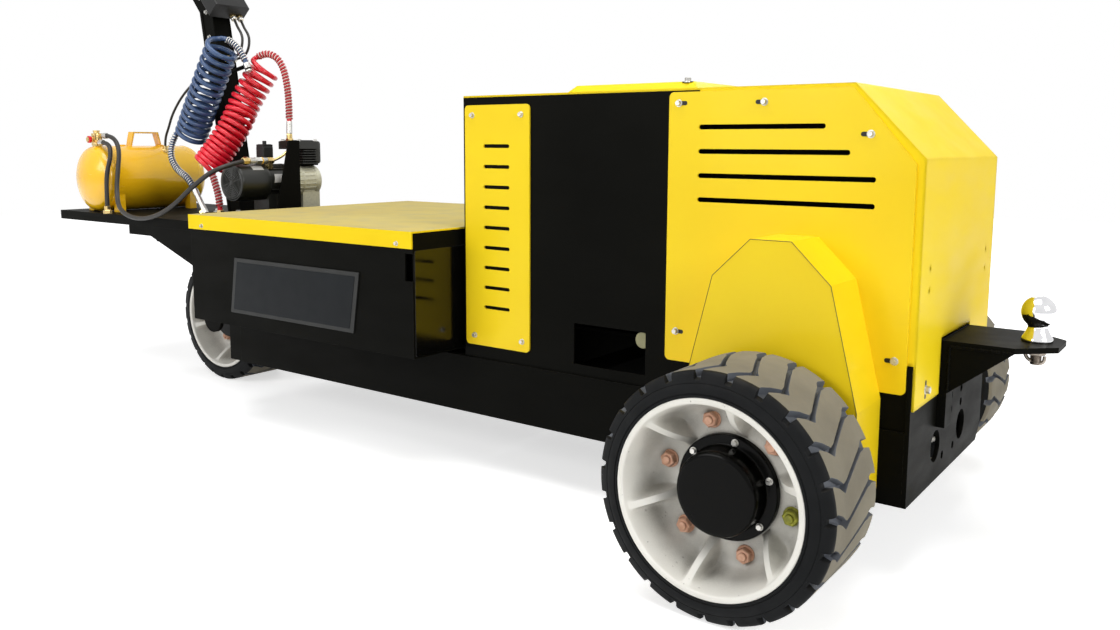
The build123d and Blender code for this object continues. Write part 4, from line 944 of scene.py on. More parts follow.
def rounded(points, radius, steps=5):
    """An outline with its corners rounded."""
    found = []
    for index, point in enumerate(points):
        here = Vector(point)
        before = (Vector(points[index - 1]) - here).normalized()
        after = (Vector(points[(index + 1) % len(points)]) - here).normalized()
        half = math.acos(max(-1.0, min(1.0, before.dot(after)))) / 2
        reach = radius / math.tan(half)
        middle = here + (before + after).normalized() * (radius / math.sin(half))
        start = here + before * reach - middle
        end = here + after * reach - middle
        first = math.atan2(start.y, start.x)
        turn = (math.atan2(end.y, end.x) - first + math.pi) % (2 * math.pi) - math.pi
        for step in range(steps + 1):
            angle = first + turn * step / steps
            found.append((middle.x + radius * math.cos(angle), middle.y + radius * math.sin(angle)))
    return found


# The blank sign's dark face, inside its border
SIGN_FACE = [(-0.340, 0.325), (0.103, 0.325), (0.124, 0.449), (-0.319, 0.449)]
bm = bmesh.new()
for side in (-1, 1):
    flat_plate(bm, rounded(SIGN_FACE, 0.003), "y", side * 0.407, side * 0.0006, 0.0003)
add_piece("sign_faces", bm, sign_face, "chassis")

# Glossy end panel of the battery box, facing the cabinet
bm = bmesh.new()
end = rounded([(-0.399, 0.284), (0.399, 0.284), (0.399, 0.520), (-0.399, 0.520)], 0.004)
flat_plate(bm, end, "x", 0.3079, 0.0012, 0.0005)
add_piece("box_end_panel", bm, end_black, "chassis")

# Thin dark yellow strips along the folds where the axle covers' front plates meet their sides: painted shade at the
# bend
COVER_LINE = [(0.966, 0.168), (0.966, 0.320), (1.017, 0.524), (1.087, 0.592), (1.161, 0.592), (1.231, 0.524),
              (1.282, 0.320), (1.282, 0.168)]
bm = bmesh.new()
for side in (-1, 1):
    for (x, z), (after_x, after_z) in zip(COVER_LINE, COVER_LINE[1:]):
        start, end = Vector((x, side * 0.3798, z)), Vector((after_x, side * 0.3798, after_z))
        lathe(bm, [(0, 0), (0.0007, 0), (0.0007, (end - start).length), (0, (end - start).length)], start,
              end - start, 6)
add_piece("cover_fold_shades", bm, fold_shade, "chassis")


# Round rod seen through the low window
bm = bmesh.new()
lathe(bm, [(0, -0.24), (0.016, -0.24), (0.0175, -0.2385), (0.0175, 0.2385), (0.016, 0.24), (0, 0.24)],
      (0.792, 0, 0.357), (0, 1, 0), 32)
add_piece("window_tie_rod", bm, rod_finish, "chassis")

# Air tank: seams, two round bungs on top, valve with its knob and hose sleeves

TANK = Vector((-1.345, -0.055, 0.633))
TANK_RADIUS = 0.108
VALVE = Vector((-1.345, -0.2085, 0.7413))

bm = bmesh.new()
for shift in (-0.1535, 0.1535):
    rows = [(TANK_RADIUS - 0.001, -0.004), (TANK_RADIUS + 0.0008, -0.0025), (TANK_RADIUS + 0.0011, 0.0),
            (TANK_RADIUS + 0.0008, 0.0025), (TANK_RADIUS - 0.001, 0.004)]
    lathe(bm, rows, TANK + Vector((0, shift, 0)), (0, 1, 0), 72)
for end in (-1, 1):
    for reach in (-0.07, 0.07):
        foot = Vector((TANK.x + reach * 0.93, TANK.y + end * 0.070, TANK.z + 0.1062))
    lathe(bm, [(0.014, 0), (0.014, 0.004), (0.012, 0.006), (0, 0.006)],
          TANK + Vector((0, end * 0.070, TANK_RADIUS - 0.002)), (0, 0, 1), 24)
add_piece("tank_seams", bm, tank_paint, "chassis")

bm = bmesh.new()
lathe(bm, [(0.0135, -0.004), (0.0135, 0.007), (0.012, 0.009), (0.0095, 0.009), (0.0095, 0.012)], VALVE, (0, 0, 1), 6)
lathe(bm, [(0.0095, 0.0), (0.0138, 0.002), (0.0145, 0.006), (0.0145, 0.026), (0.0138, 0.030), (0.0095, 0.032),
           (0.0095, 0.036), (0.011, 0.037), (0.011, 0.0405), (0, 0.0415)], VALVE + Vector((0, 0, 0.009)), (0, 0, 1), 32)
for rise, side in ((0.010, -0.007), (0.032, 0.007)):
    start = VALVE + Vector((0.011, side, rise))
    lathe(bm, [(0.0092, 0), (0.0092, 0.009), (0.008, 0.0105), (0.0066, 0.0105), (0.0066, 0.019)], start, (1, 0, 0), 6)
add_piece("valve_body", bm, brass, "chassis")

bm = bmesh.new()
lathe(bm, [(0.005, 0), (0.005, 0.008), (0.0105, 0.009), (0.012, 0.0105), (0.012, 0.0165), (0.0105, 0.0185),
           (0, 0.019)], VALVE + Vector((0, -0.0115, 0.020)), (0, -1, 0), 10)
add_piece("valve_knob", bm, red_plastic, "chassis")

bm = bmesh.new()
for rise, side in ((0.010, -0.007), (0.032, 0.007)):
    start = VALVE + Vector((0.030, side, rise))
    lathe(bm, [(0.0071, 0), (0.0086, 0.0005), (0.0090, 0.002), (0.0090, 0.022), (0.0084, 0.0235), (0.0071, 0.0235)],
          start, (1, 0, 0), 28)
    for step in range(3):
        lathe(bm, [(0.0089, 0), (0.0095, 0.001), (0.0095, 0.002), (0.0089, 0.003)],
              start + Vector((0.004 + step * 0.006, 0, 0)), (1, 0, 0), 28)
add_piece("hose_sleeves", bm, steel, "chassis")


# Air compressor: fan cover, fins, covers, labels, bolts

COMPRESSOR_X = -0.676
MOTOR_Z = 0.635
BASE_Z = 0.535
MOTOR_NEAR = Vector((COMPRESSOR_X, -0.165, MOTOR_Z))

bm = bmesh.new()
lathe(bm, [(0.0545, 0.100), (0.0552, 0.096), (0.0552, 0.010), (0.0540, 0.003), (0.0505, -0.0010), (0.0465, -0.0020),
           (0.0445, -0.0006), (0.0445, 0.002)], MOTOR_NEAR, (0, 1, 0), 72)
for ring in range(6):
    radius = 0.0095 + ring * 0.0062
    rows = [(radius, 0.002), (radius + 0.0003, -0.0018), (radius + 0.0017, -0.0024), (radius + 0.0032, -0.0018),
            (radius + 0.0035, 0.002)]
    lathe(bm, rows, MOTOR_NEAR, (0, 1, 0), 56)
for spoke in range(6):
    angle = math.radians(15 + spoke * 60)
    start = MOTOR_NEAR + Vector((0.008 * math.cos(angle), -0.0006, 0.008 * math.sin(angle)))
    lathe(bm, [(0.0014, 0), (0.0014, 0.038)], start, (math.cos(angle), 0, math.sin(angle)), 8)
lathe(bm, [(0.0085, 0.002), (0.0085, -0.001), (0.007, -0.0024), (0, -0.003)], MOTOR_NEAR, (0, 1, 0), 32)
lathe(bm, [(0.0500, 0), (0.0535, 0.0005), (0.0542, 0.002), (0.0542, 0.010), (0.0535, 0.0115), (0.0500, 0.012)],
      Vector((COMPRESSOR_X, 0.006, MOTOR_Z)), (0, 1, 0), 72)
for fin in range(14):
    angle = math.radians(-70 + fin * 14.5)
    if -25 < -70 + fin * 14.5 < 45:
        continue
    for side in (1,):
        place = Vector((COMPRESSOR_X + 0.0495 * math.cos(angle), -0.058, MOTOR_Z + 0.0495 * math.sin(angle)))
        out = Vector((math.cos(angle), 0, math.sin(angle)))
        across = Vector((-out.z, 0, out.x))
        quad = [across * -0.0014, across * 0.0014, across * 0.0009 + out * 0.0042, across * -0.0009 + out * 0.0042]
        near = [bm.verts.new(place + shift) for shift in quad]
        far = [bm.verts.new(place + shift + Vector((0, 0.060, 0))) for shift in quad]
        bm.faces.new(near)
        bm.faces.new(list(reversed(far)))
        for step in range(4):
            after = (step + 1) % 4
            bm.faces.new((near[after], near[step], far[step], far[after]))
add_piece("motor_cover", bm, motor_black, "chassis")

bm = bmesh.new()
lathe(bm, [(0, 0.0018), (0.0446, 0.0018)], MOTOR_NEAR, (0, 1, 0), 48)
add_piece("fan_dark", bm, black_plastic, "chassis")


def drum_label(bm, radius, low_angle, high_angle, near_y, far_y, lean=0.0):
    """A thin label wrapped on the motor, between two angles and two places on Y."""
    steps = 8
    grid = []
    for step in range(steps + 1):
        angle = math.radians(low_angle + (high_angle - low_angle) * step / steps)
        shift = lean * step / steps
        for reach in (0.0, 0.0005):
            grid.append([
                bm.verts.new((COMPRESSOR_X + (radius + reach) * math.cos(angle), y + shift,
                              MOTOR_Z + (radius + reach) * math.sin(angle)))
                for y in (near_y, far_y)
            ])
    for step in range(steps):
        low, low_out, high, high_out = grid[2 * step:2 * step + 4]
        bm.faces.new((low_out[0], low_out[1], high_out[1], high_out[0]))
        bm.faces.new((low[0], low_out[0], high_out[0], high[0]))
        bm.faces.new((low_out[1], low[1], high[1], high_out[1]))
    bm.faces.new((grid[0][0], grid[0][1], grid[1][1], grid[1][0]))
    bm.faces.new((grid[-2][1], grid[-2][0], grid[-1][0], grid[-1][1]))


bm = bmesh.new()
drum_label(bm, 0.0552, 42, 62, -0.118, -0.080)
drum_label(bm, 0.0502, -2, 28, -0.050, 0.000, 0.004)
add_piece("motor_labels", bm, label, "chassis")

bm = bmesh.new()
for level in range(6):
    z = 0.6885 + level * 0.0078
    points = rounded([(COMPRESSOR_X - 0.046, 0.066), (COMPRESSOR_X + 0.046, 0.066),
                      (COMPRESSOR_X + 0.046, 0.131), (COMPRESSOR_X - 0.046, 0.131)], 0.010)
    flat_plate(bm, points, "z", z, 0.0028, 0.0008)
points = rounded([(COMPRESSOR_X - 0.049, 0.039), (COMPRESSOR_X + 0.049, 0.039),
                  (COMPRESSOR_X + 0.049, 0.131), (COMPRESSOR_X - 0.049, 0.131)], 0.012)
flat_plate(bm, points, "z", 0.7345, 0.0240, 0.004)
flat_plate(bm, rounded([(COMPRESSOR_X - 0.034, 0.052), (COMPRESSOR_X + 0.034, 0.052), (COMPRESSOR_X + 0.034, 0.118),
                        (COMPRESSOR_X - 0.034, 0.118)], 0.010), "z", 0.7580, 0.0035, 0.0015)
slab(bm, (COMPRESSOR_X - 0.048, 0.113, 0.689), (COMPRESSOR_X + 0.048, 0.133, 0.757), 0.007)
add_piece("head_fins", bm, motor_black, "chassis")

bm = bmesh.new()
for x in (-0.038, 0.038):
    for y in (0.053, 0.118):
        hex_head(bm, (COMPRESSOR_X + x, y, 0.7585), (0, 0, 1), 0.010, 0.005, 0.0075, x * 9)
for x in (-0.055, 0.055):
    for y in (-0.155, 0.165):
        hex_head(bm, (COMPRESSOR_X + x, y, BASE_Z), (0, 0, 1), 0.010, 0.005, 0.0085, y)
for number in range(8):
    angle = math.radians(22.5 + number * 45)
    place = (COMPRESSOR_X + 0.039 * math.cos(angle), 0.1335, MOTOR_Z + 0.039 * math.sin(angle))
    hex_head(bm, place, (0, 1, 0), 0.006, 0.0035, 0.0045, angle)
for y in (-0.060, 0.006):
    hex_head(bm, (-0.569, y, 0.529), (0, 0, 1), 0.010, 0.005, 0.0085, y * 40)
add_piece("compressor_bolts", bm, steel, "chassis")

bm = bmesh.new()
rows = [(0.0480, 0.0), (0.0495, 0.001), (0.0495, 0.010), (0.0484, 0.012), (0.0484, 0.036), (0.0498, 0.038),
        (0.0498, 0.045), (0.0484, 0.047), (0.0484, 0.090), (0.0500, 0.092), (0.0500, 0.104), (0.0480, 0.107),
        (0.0430, 0.1090), (0.0200, 0.1095), (0, 0.1095)]
lathe(bm, rows, Vector((COMPRESSOR_X, 0.024, MOTOR_Z)), (0, 1, 0), 72)
for fin in range(7):
    angle = math.radians(-40 + fin * 15)
    place = Vector((COMPRESSOR_X + 0.0478 * math.cos(angle), 0.037, MOTOR_Z + 0.0478 * math.sin(angle)))
    lathe(bm, [(0, 0), (0.0022, 0.0008), (0.0022, 0.074), (0, 0.0748)], place, (0, 1, 0), 10)
add_piece("crankcase_cover", bm, cast, "chassis")

bm = bmesh.new()
slab(bm, (COMPRESSOR_X - 0.0185, -0.0635, 0.690), (COMPRESSOR_X + 0.0185, -0.0265, 0.742), 0.004)
slab(bm, (COMPRESSOR_X - 0.0160, -0.0610, 0.740), (COMPRESSOR_X + 0.0160, -0.0290, 0.7485), 0.003)
lathe(bm, [(0.006, 0), (0.006, 0.010), (0.005, 0.011), (0, 0.011)], (COMPRESSOR_X, -0.045, 0.7475), (0, 0, 1), 20)
add_piece("switch_cover", bm, black_plastic, "chassis")

# Manifold beside the head: elbow, hexagons and rings on the compressor's outlet
OUTLET = Vector((-0.646, -0.136, 0.699))
bm = bmesh.new()
lathe(bm, [(0.0072, -0.010), (0.0105, -0.009), (0.0118, -0.006), (0.0118, 0.008), (0.0100, 0.011), (0.0082, 0.012)],
      OUTLET, (0, 1, 0), 8)
lathe(bm, [(0.0082, 0.074), (0.0112, 0.075), (0.0112, 0.092), (0.0100, 0.0945), (0.0082, 0.0945)], OUTLET, (0, 1, 0), 6)
lathe(bm, [(0.0115, 0), (0.0115, 0.009), (0.0100, 0.010), (0, 0.010)], (COMPRESSOR_X, 0.049, 0.7565), (0, 0, 1), 6)
lathe(bm, [(0.0092, 0), (0.0092, 0.009), (0.0080, 0.010), (0, 0.010)], (COMPRESSOR_X, 0.049, 0.7715), (0, 0, 1), 6, 0.5)
add_piece("brass_nuts", bm, brass, "chassis")
bm = bmesh.new()
lathe(bm, [(0.0082, 0.012), (0.0098, 0.013), (0.0098, 0.030), (0.0088, 0.032), (0.0088, 0.034)], OUTLET, (0, 1, 0), 28)
lathe(bm, [(0.0088, 0.034), (0.0120, 0.035), (0.0120, 0.052), (0.0105, 0.054), (0.0092, 0.054)], OUTLET, (0, 1, 0), 6)
lathe(bm, [(0.0092, 0.058), (0.0104, 0.059), (0.0104, 0.073), (0.0082, 0.074)], OUTLET, (0, 1, 0), 28)
lathe(bm, [(0.0074, 0), (0.0088, 0.001), (0.0091, 0.003), (0.0086, 0.036), (0.0081, 0.0395), (0.0074, 0.040)],
      (-0.6760, 0.0492, 0.780), (-0.012, 0.042, 1), 32)
add_piece("steel_fittings", bm, steel, "chassis")
bm = bmesh.new()
lathe(bm, [(0.0092, 0.054), (0.0108, 0.0545), (0.0108, 0.0575), (0.0092, 0.058)], OUTLET, (0, 1, 0), 28)
add_piece("yellow_ring", bm, tank_paint, "chassis")
bm = bmesh.new()
lathe(bm, [(0.006, 0), (0.0072, 0.0005), (0.0072, 0.0045), (0.006, 0.005)], (COMPRESSOR_X, 0.049, 0.7666), (0, 0, 1), 28)
add_piece("blue_ring", bm, blue_plastic, "chassis")

# Copper pipe from the head to the manifold
PIPE = [(-0.646, -0.040, 0.699), (-0.640, -0.020, 0.706), (-0.636, 0.004, 0.722), (-0.636, 0.020, 0.741),
        (-0.640, 0.034, 0.746), (-0.646, 0.044, 0.746)]
pipe = spline_object("outlet_pipe", PIPE, 0.0042, brass)
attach(pipe, "chassis")


# Coupling: weld beads, nut and lock pin

def weld(bm, start, end, radius, pitch):
    """A row of overlapping lumps, as a weld bead leaves."""
    start, end = Vector(start), Vector(end)
    count = max(2, round((end - start).length / pitch))
    for step in range(count + 1):
        wobble = 1 + 0.18 * math.sin(step * 2.4) + 0.08 * math.sin(step * 5.1)
        lump = bmesh.ops.create_icosphere(bm, subdivisions=2, radius=radius * wobble)["verts"]
        for vert in lump:
            vert.co += start.lerp(end, step / count)


bm = bmesh.new()
for side in (-1, 1):
    weld(bm, (1.352, side * 0.0965, 0.3925), (1.454, side * 0.0965, 0.3925), 0.0026, 0.0036)
    weld(bm, (1.350, side * 0.0965, 0.312), (1.350, side * 0.0965, 0.390), 0.0026, 0.0036)
weld(bm, (1.336, -0.0955, 0.4015), (1.336, 0.0955, 0.4015), 0.0024, 0.0036)
add_piece("coupling_welds", bm, black, "chassis")

BALL = Vector((1.476, 0, 0.456))
bm = bmesh.new()
rows = [(0, 0.0295), (0.0060, 0.0292)]
rows += [(0.0294 * math.sin(math.radians(a)), 0.0294 * math.cos(math.radians(a))) for a in range(15, 142, 6)]
rows += [(0.0172, -0.0252), (0.0166, -0.0275), (0.0172, -0.0300), (0.0192, -0.0350), (0.0222, -0.0410),
         (0.0247, -0.0450), (0.0260, -0.0475), (0.0265, -0.0500), (0.0265, -0.0530), (0.0258, -0.0540), (0, -0.0540)]
lathe(bm, rows, BALL, (0, 0, 1), 72)
ball = add_piece("ball_head", bm, chrome, "chassis", 60.0)
bm = bmesh.new()
lathe(bm, [(0.0185, -0.0640), (0.0185, -0.0665), (0.0095, -0.0668)], BALL, (0, 0, 1), 40)
lathe(bm, [(0.0140, -0.0665), (0.0162, -0.0680), (0.0162, -0.0775), (0.0140, -0.0790), (0.0095, -0.0790)], BALL,
      (0, 0, 1), 6)
thread = []
for turn in range(9):
    z = -0.0790 - turn * 0.0019
    thread += [(0.0088, z), (0.0098, z - 0.00095)]
lathe(bm, [(0.0095, -0.078)] + thread + [(0.0085, -0.0963), (0, -0.0963)], BALL, (0, 0, 1), 32)
shank = add_piece("ball_shank", bm, dark_steel, "chassis")
HOOK = [(1.4570, -0.004, 0.3850), (1.4590, -0.004, 0.3740), (1.4660, -0.004, 0.3670), (1.4760, -0.003, 0.3640),
        (1.4860, -0.002, 0.3620), (1.4910, -0.001, 0.3690), (1.4900, 0.000, 0.3760)]
hook = spline_object("lock_hook", HOOK, 0.0032, dark_steel)
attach(hook, "chassis")
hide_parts("tow_ball")
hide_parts("tow_ball")

# Mast and controls: bend flanges, bolts, the control head's panel, grips and glands

MAST_FOOT = Vector((-0.861, 0, 0.533))
MAST_BEND = Vector((-0.971, 0, 1.172))
MAST_TIP = Vector((-1.093, 0, 1.318))
MAST_UP = (MAST_BEND - MAST_FOOT).normalized()
HEAD_UP = (MAST_TIP - MAST_BEND).normalized()
HEAD_OUT = Vector((HEAD_UP.z, 0, -HEAD_UP.x))


def beam(bm, start, end, across, half_out, half_across, bevel=0.0):
    """A bar of rectangular section between two points, with its long edges bevelled."""
    start, end, across = Vector(start), Vector(end), Vector(across)
    out = (end - start).normalized().cross(across)
    corners = [(1, 1), (-1, 1), (-1, -1), (1, -1)]
    low = [bm.verts.new(start + out * (half_out * a) + across * (half_across * b)) for a, b in corners]
    high = [bm.verts.new(end + out * (half_out * a) + across * (half_across * b)) for a, b in corners]
    bm.faces.new(list(reversed(low)))
    bm.faces.new(high)
    long_edges = []
    for step in range(4):
        after = (step + 1) % 4
        face = bm.faces.new((low[step], low[after], high[after], high[step]))
        long_edges += [edge for edge in face.edges if edge.verts[0] in low and edge.verts[1] in high
                       or edge.verts[1] in low and edge.verts[0] in high]
    if bevel:
        edges = list(set(long_edges)) + [edge for edge in high[0].link_edges if edge.other_vert(high[0]) in high]
        bmesh.ops.bevel(bm, geom=list(set(edges)), offset=bevel, segments=3, affect="EDGES", profile=0.5)


bm = bmesh.new()
for side in (-1, 1):
    near = Vector((0, side * 0.0305, 0))
    out = Vector((MAST_UP.z, 0, -MAST_UP.x))
    beam(bm, MAST_FOOT + near - out * 0.026, MAST_BEND + near - out * 0.026, (0, 1, 0), 0.006, 0.0015, 0.0008)
    beam(bm, MAST_FOOT + near + out * 0.026, MAST_BEND + near + out * 0.026, (0, 1, 0), 0.006, 0.0015, 0.0008)
add_piece("mast_flanges", bm, black, "chassis")

bm = bmesh.new()
for x in (-0.055, 0.055):
    for y in (-0.055, 0.055):
        hex_head(bm, (-0.861 + x, y, 0.533), (0, 0, 1), 0.013, 0.008, 0.012, x * 30)
for side in (-1, 1):
    for rise in (0.56, 0.64):
        place = MAST_FOOT + MAST_UP * rise + Vector((0, side * 0.03, 0))
        hex_head(bm, place, (0, side, 0), 0.009, 0.005, 0.007, rise)
    place = MAST_BEND + HEAD_UP * 0.05 + Vector((0, side * 0.03, 0))
    hex_head(bm, place, (0, side, 0), 0.009, 0.005, 0.007, 0.4)
add_piece("mast_bolts", bm, steel, "chassis")

# Control head: rounded cover, front panel, key switch, buttons and lamps, all without marks
HEAD_START = MAST_BEND - HEAD_UP * 0.060 + HEAD_OUT * 0.03
bm = bmesh.new()
beam(bm, HEAD_START + HEAD_OUT * 0.026 + HEAD_UP * -0.0012, HEAD_START + HEAD_OUT * 0.026 + HEAD_UP * 0.1873,
     (0, 1, 0), 0.0272, 0.0612, 0.006)
cover = add_piece("head_cover", bm, black_plastic, "chassis")
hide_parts("control_head")
PANEL = HEAD_START + HEAD_OUT * 0.026 + HEAD_UP * 0.1873
bm = bmesh.new()
beam(bm, PANEL - HEAD_UP * 0.0006, PANEL + HEAD_UP * 0.0014, (0, 1, 0), 0.0225, 0.052, 0.0008)
add_piece("head_panel", bm, sign_border, "chassis")
bm = bmesh.new()
lathe(bm, [(0.014, 0), (0.014, 0.003), (0.0115, 0.005), (0.0105, 0.018), (0.009, 0.020), (0, 0.020)],
      PANEL + Vector((0, -0.034, 0)), HEAD_UP, 32)
lathe(bm, [(0.010, 0), (0.010, 0.0055), (0.0085, 0.007), (0, 0.0072)],
      PANEL + Vector((0, -0.008, 0)), HEAD_UP, 28)
add_piece("head_buttons", bm, red_plastic, "chassis")
bm = bmesh.new()
for side in (0.013, 0.034):
    lathe(bm, [(0.0095, 0), (0.010, 0.004), (0.0075, 0.0045), (0.0075, 0.009), (0.006, 0.010), (0, 0.010)],
          PANEL + Vector((0, side, 0)), HEAD_UP, 28)
for a in (-1, 1):
    for b in (-1, 1):
        lathe(bm, [(0.0032, 0), (0.0032, 0.0014), (0.0024, 0.002), (0, 0.002)],
              PANEL + HEAD_OUT * (a * 0.0180) + Vector((0, b * 0.0475, 0)) + HEAD_UP * 0.0010, HEAD_UP, 16)
add_piece("head_switches", bm, steel, "chassis")

# Handlebar: soft grips with ridges and end caps, and clamps at the head
BAR = MAST_TIP + HEAD_UP * 0.014
bm = bmesh.new()
for side in (-1, 1):
    rows = [(0.0140, 0.100), (0.0178, 0.101), (0.0185, 0.104), (0.0178, 0.107)]
    for ridge in range(13):
        y = 0.110 + ridge * 0.009
        rows += [(0.0162, y), (0.0170, y + 0.0012), (0.0170, y + 0.0058), (0.0162, y + 0.0070)]
    rows += [(0.0168, 0.2275), (0.0160, 0.2298), (0, 0.2298)]
    lathe(bm, rows, BAR, (0, side, 0), 32)
add_piece("bar_grips", bm, hose_rubber, "chassis")
bm = bmesh.new()
for side in (-1, 1):
    lathe(bm, [(0.0140, 0.030), (0.0172, 0.031), (0.0172, 0.049), (0.0140, 0.050)], BAR, (0, side, 0), 32)
    hex_head(bm, BAR + Vector((0, side * 0.040, 0)) + HEAD_OUT * 0.0165, HEAD_OUT, 0.008, 0.004, 0.0, 0.3)
add_piece("bar_clamps", bm, steel, "chassis")
bm = bmesh.new()
rows = [(0.0140, -0.0985), (0.0144, -0.098), (0.0144, 0.098), (0.0140, 0.0985)]
lathe(bm, rows, BAR, (0, 1, 0), 32)
add_piece("bar_tube", bm, black, "chassis")

# Cable glands: brass nuts and steel domes
gland_starts = [
    (Vector((-0.8895, 0.018, 1.1384)), -HEAD_UP, 0.018), (Vector((-0.8895, 0.042, 1.1384)), -HEAD_UP, 0.018),
]
bm = bmesh.new()
domes = bmesh.new()
for end, direction, reach in gland_starts:
    root = end - direction * reach
    lathe(bm, [(0.0100, 0), (0.0100, 0.006), (0.0090, 0.007), (0, 0.007)], root, direction, 6)
    lathe(domes, [(0.0092, 0.007), (0.0096, 0.009), (0.0092, 0.015), (0.0070, 0.0185), (0.0042, 0.0190)], root, direction, 24)
for y in (-0.006, 0.020):
    end = Vector((-0.8958, y, 1.0181))
    direction = Vector((1, 0, 0.1721)).normalized()
    root = end - direction * 0.018
    lathe(bm, [(0.0100, 0), (0.0100, 0.006), (0.0090, 0.007), (0, 0.007)], root, direction, 6)
    lathe(domes, [(0.0092, 0.007), (0.0096, 0.009), (0.0092, 0.015), (0.0070, 0.0185), (0.0042, 0.0190)], root, direction, 24)
end = Vector((-0.9861, 0, 0.9769))
direction = Vector((-1, 0, -0.1721)).normalized()
root = end - direction * 0.018
lathe(bm, [(0.0100, 0), (0.0100, 0.006), (0.0090, 0.007), (0, 0.007)], root, direction, 6)
lathe(domes, [(0.0092, 0.007), (0.0096, 0.009), (0.0092, 0.015), (0.0070, 0.0185), (0.0042, 0.0190)], root, direction, 24)
add_piece("gland_nuts", bm, brass, "chassis")
add_piece("gland_domes", domes, steel, "chassis")

# Ferrule at the blue hose's foot, port nuts and the hose arm's socket
FERRULE_TOP = Vector((-0.919, -0.130, 0.605))
FERRULE_FOOT = Vector((-0.865, -0.130, 0.533))
bm = bmesh.new()
reach = (FERRULE_FOOT - FERRULE_TOP).length
rows = [(0.0074, -0.001), (0.0086, 0.0), (0.0092, 0.002), (0.0092, 0.020), (0.0082, 0.024), (0.0088, 0.028),
        (0.0088, reach - 0.030), (0.0095, reach - 0.028), (0.0095, reach - 0.004), (0.0086, reach)]
lathe(bm, rows, FERRULE_TOP, FERRULE_FOOT - FERRULE_TOP, 32)
add_piece("blue_ferrule", bm, steel, "chassis")
bm = bmesh.new()
lathe(bm, [(0.0145, 0.0115), (0.0145, 0.021), (0.0130, 0.0225), (0.0088, 0.0225)],
      (-0.8665, -0.130, 0.5235), (-0.6, 0, 0.8), 6)
for x, y in ((-1.232, -0.246), (-0.790, -0.130)):
    lathe(bm, [(0.0135, 0), (0.0135, 0.010), (0.0120, 0.0115), (0.0098, 0.0115), (0.0098, 0.015)], (x, y, 0.523),
          (0, 0, 1), 6)
    lathe(bm, [(0.0098, 0.0145), (0.0112, 0.0150), (0.0112, 0.0235), (0.0098, 0.0245), (0.0070, 0.0245)],
          (x, y, 0.523), (0, 0, 1), 6, 0.5)
lathe(bm, [(0.0125, 0), (0.0125, 0.006), (0.0110, 0.0075), (0.0092, 0.0075)], (-1.285, 0, 0.722), (0.2, 0, 1), 6)
add_piece("port_nuts", bm, brass, "chassis")
bm = bmesh.new()
SOCKET_TOP = Vector((-0.745, -0.048, 0.990))
lean = Vector((12, 2, -29)).normalized()
lathe(bm, [(0.0066, -0.004), (0.0096, -0.003), (0.0106, 0.0), (0.0106, 0.012), (0.0098, 0.014), (0.0098, 0.019),
           (0.0106, 0.0205), (0.0106, 0.0235), (0.0092, 0.0250), (0, 0.0250)], SOCKET_TOP, lean, 32)
add_piece("arm_socket", bm, steel, "chassis")


# Light, floor and background


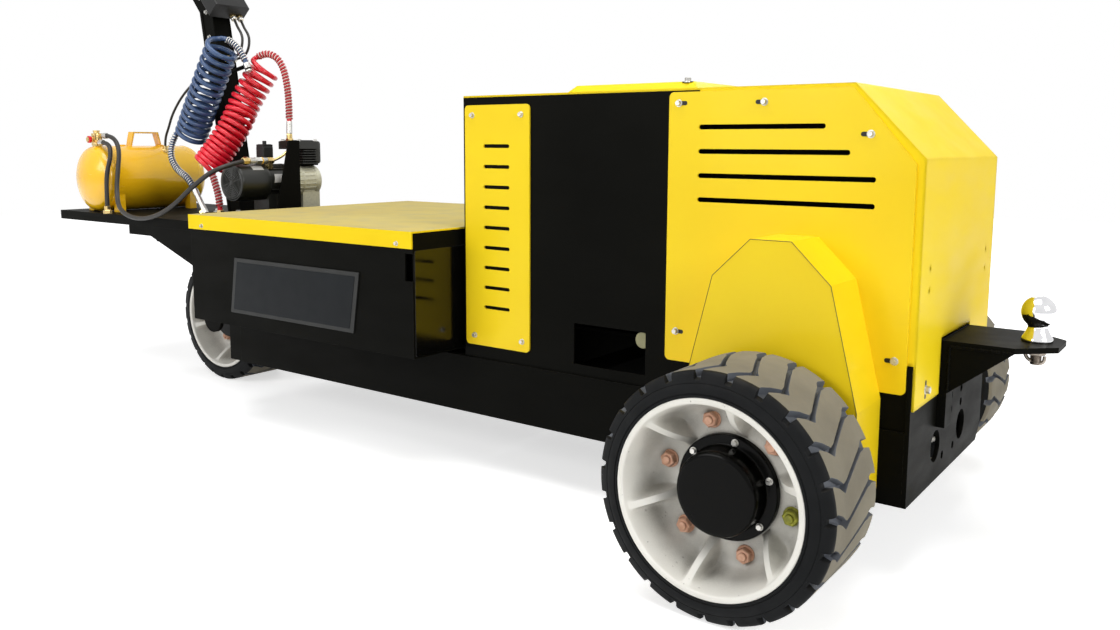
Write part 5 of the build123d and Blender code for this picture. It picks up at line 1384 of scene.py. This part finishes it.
def make_stage():
    """A pale floor, a white background and soft studio light."""
    s = Shader("floor")
    path = s.add("ShaderNodeLightPath")
    tone = s.mix(s.noise(1.2, 3.0), (0.93, 0.93, 0.925, 1), (0.95, 0.95, 0.95, 1))
    surface = s.add("ShaderNodeBsdfDiffuse", {"Color": tone})
    reach = s.add("ShaderNodeVectorMath", {0: s.place}, operation="LENGTH").outputs["Value"]
    lift = s.ramp(reach, 1.4, 5.0, 0.6, 1.0)
    seen = s.math("MAXIMUM", path.outputs["Is Camera Ray"], path.outputs["Is Glossy Ray"])
    seen = s.math("MAXIMUM", seen, path.outputs["Is Transmission Ray"])
    glow = s.math("MULTIPLY", seen, lift)
    glow = s.add("ShaderNodeEmission", {"Color": (1, 1, 1, 1), "Strength": glow})
    both = s.add("ShaderNodeAddShader", {0: surface.outputs[0], 1: glow.outputs[0]})
    s.add("ShaderNodeOutputMaterial", {"Surface": both.outputs[0]})
    mesh = bpy.data.meshes.new("floor")
    bm = bmesh.new()
    bmesh.ops.create_circle(bm, cap_ends=True, radius=9.0, segments=64)
    for vert in bm.verts:
        vert.co.z = -0.0005
    bm.to_mesh(mesh)
    bm.free()
    mesh.materials.append(s.material)
    floor = bpy.data.objects.new("floor", mesh)
    bpy.context.scene.collection.objects.link(floor)

    world = bpy.data.worlds.new("studio")
    bpy.context.scene.world = world
    world.use_nodes = True
    tree = world.node_tree
    tree.nodes.clear()
    path = tree.nodes.new("ShaderNodeLightPath")
    light = tree.nodes.new("ShaderNodeBackground")
    light.inputs["Color"].default_value = (1, 1, 1, 1)
    light.inputs["Strength"].default_value = 0.19
    white = tree.nodes.new("ShaderNodeBackground")
    white.inputs["Color"].default_value = (1, 1, 1, 1)
    white.inputs["Strength"].default_value = 1.0
    mix = tree.nodes.new("ShaderNodeMixShader")
    output = tree.nodes.new("ShaderNodeOutputWorld")
    seen = path.outputs["Is Camera Ray"]
    for ray in ("Is Glossy Ray", "Is Transmission Ray"):
        either = tree.nodes.new("ShaderNodeMath")
        either.operation = "MAXIMUM"
        tree.links.new(seen, either.inputs[0])
        tree.links.new(path.outputs[ray], either.inputs[1])
        seen = either.outputs[0]
    tree.links.new(seen, mix.inputs[0])
    tree.links.new(light.outputs[0], mix.inputs[1])
    tree.links.new(white.outputs[0], mix.inputs[2])
    tree.links.new(mix.outputs[0], output.inputs["Surface"])


def area_light(name, place, target, size, power):
    data = bpy.data.lights.new(name, "AREA")
    data.shape = "RECTANGLE"
    data.size, data.size_y = size
    data.energy = power
    lamp = bpy.data.objects.new(name, data)
    lamp.location = place
    lamp.rotation_mode = "QUATERNION"
    lamp.rotation_quaternion = (Vector(target) - Vector(place)).to_track_quat("-Z", "Y")
    bpy.context.scene.collection.objects.link(lamp)


make_stage()
area_light("top_light", (0.2, -0.9, 4.4), (0.0, 0.0, 0.3), (4.2, 2.6), 136)
area_light("near_light", (-1.4, -4.2, 2.4), (0.0, 0.0, 0.5), (2.6, 1.6), 64)
area_light("drive_light", (4.4, -1.2, 2.2), (0.8, 0.0, 0.4), (1.8, 1.4), 70)
area_light("tail_light", (-0.2, -3.4, 1.1), (-1.2, 0.0, 0.75), (1.2, 1.0), 9)
area_light("far_light", (0.0, 3.8, 3.0), (0.0, 0.0, 0.4), (2.6, 1.6), 40)

view = bpy.context.scene.view_settings
view.view_transform = "Standard"
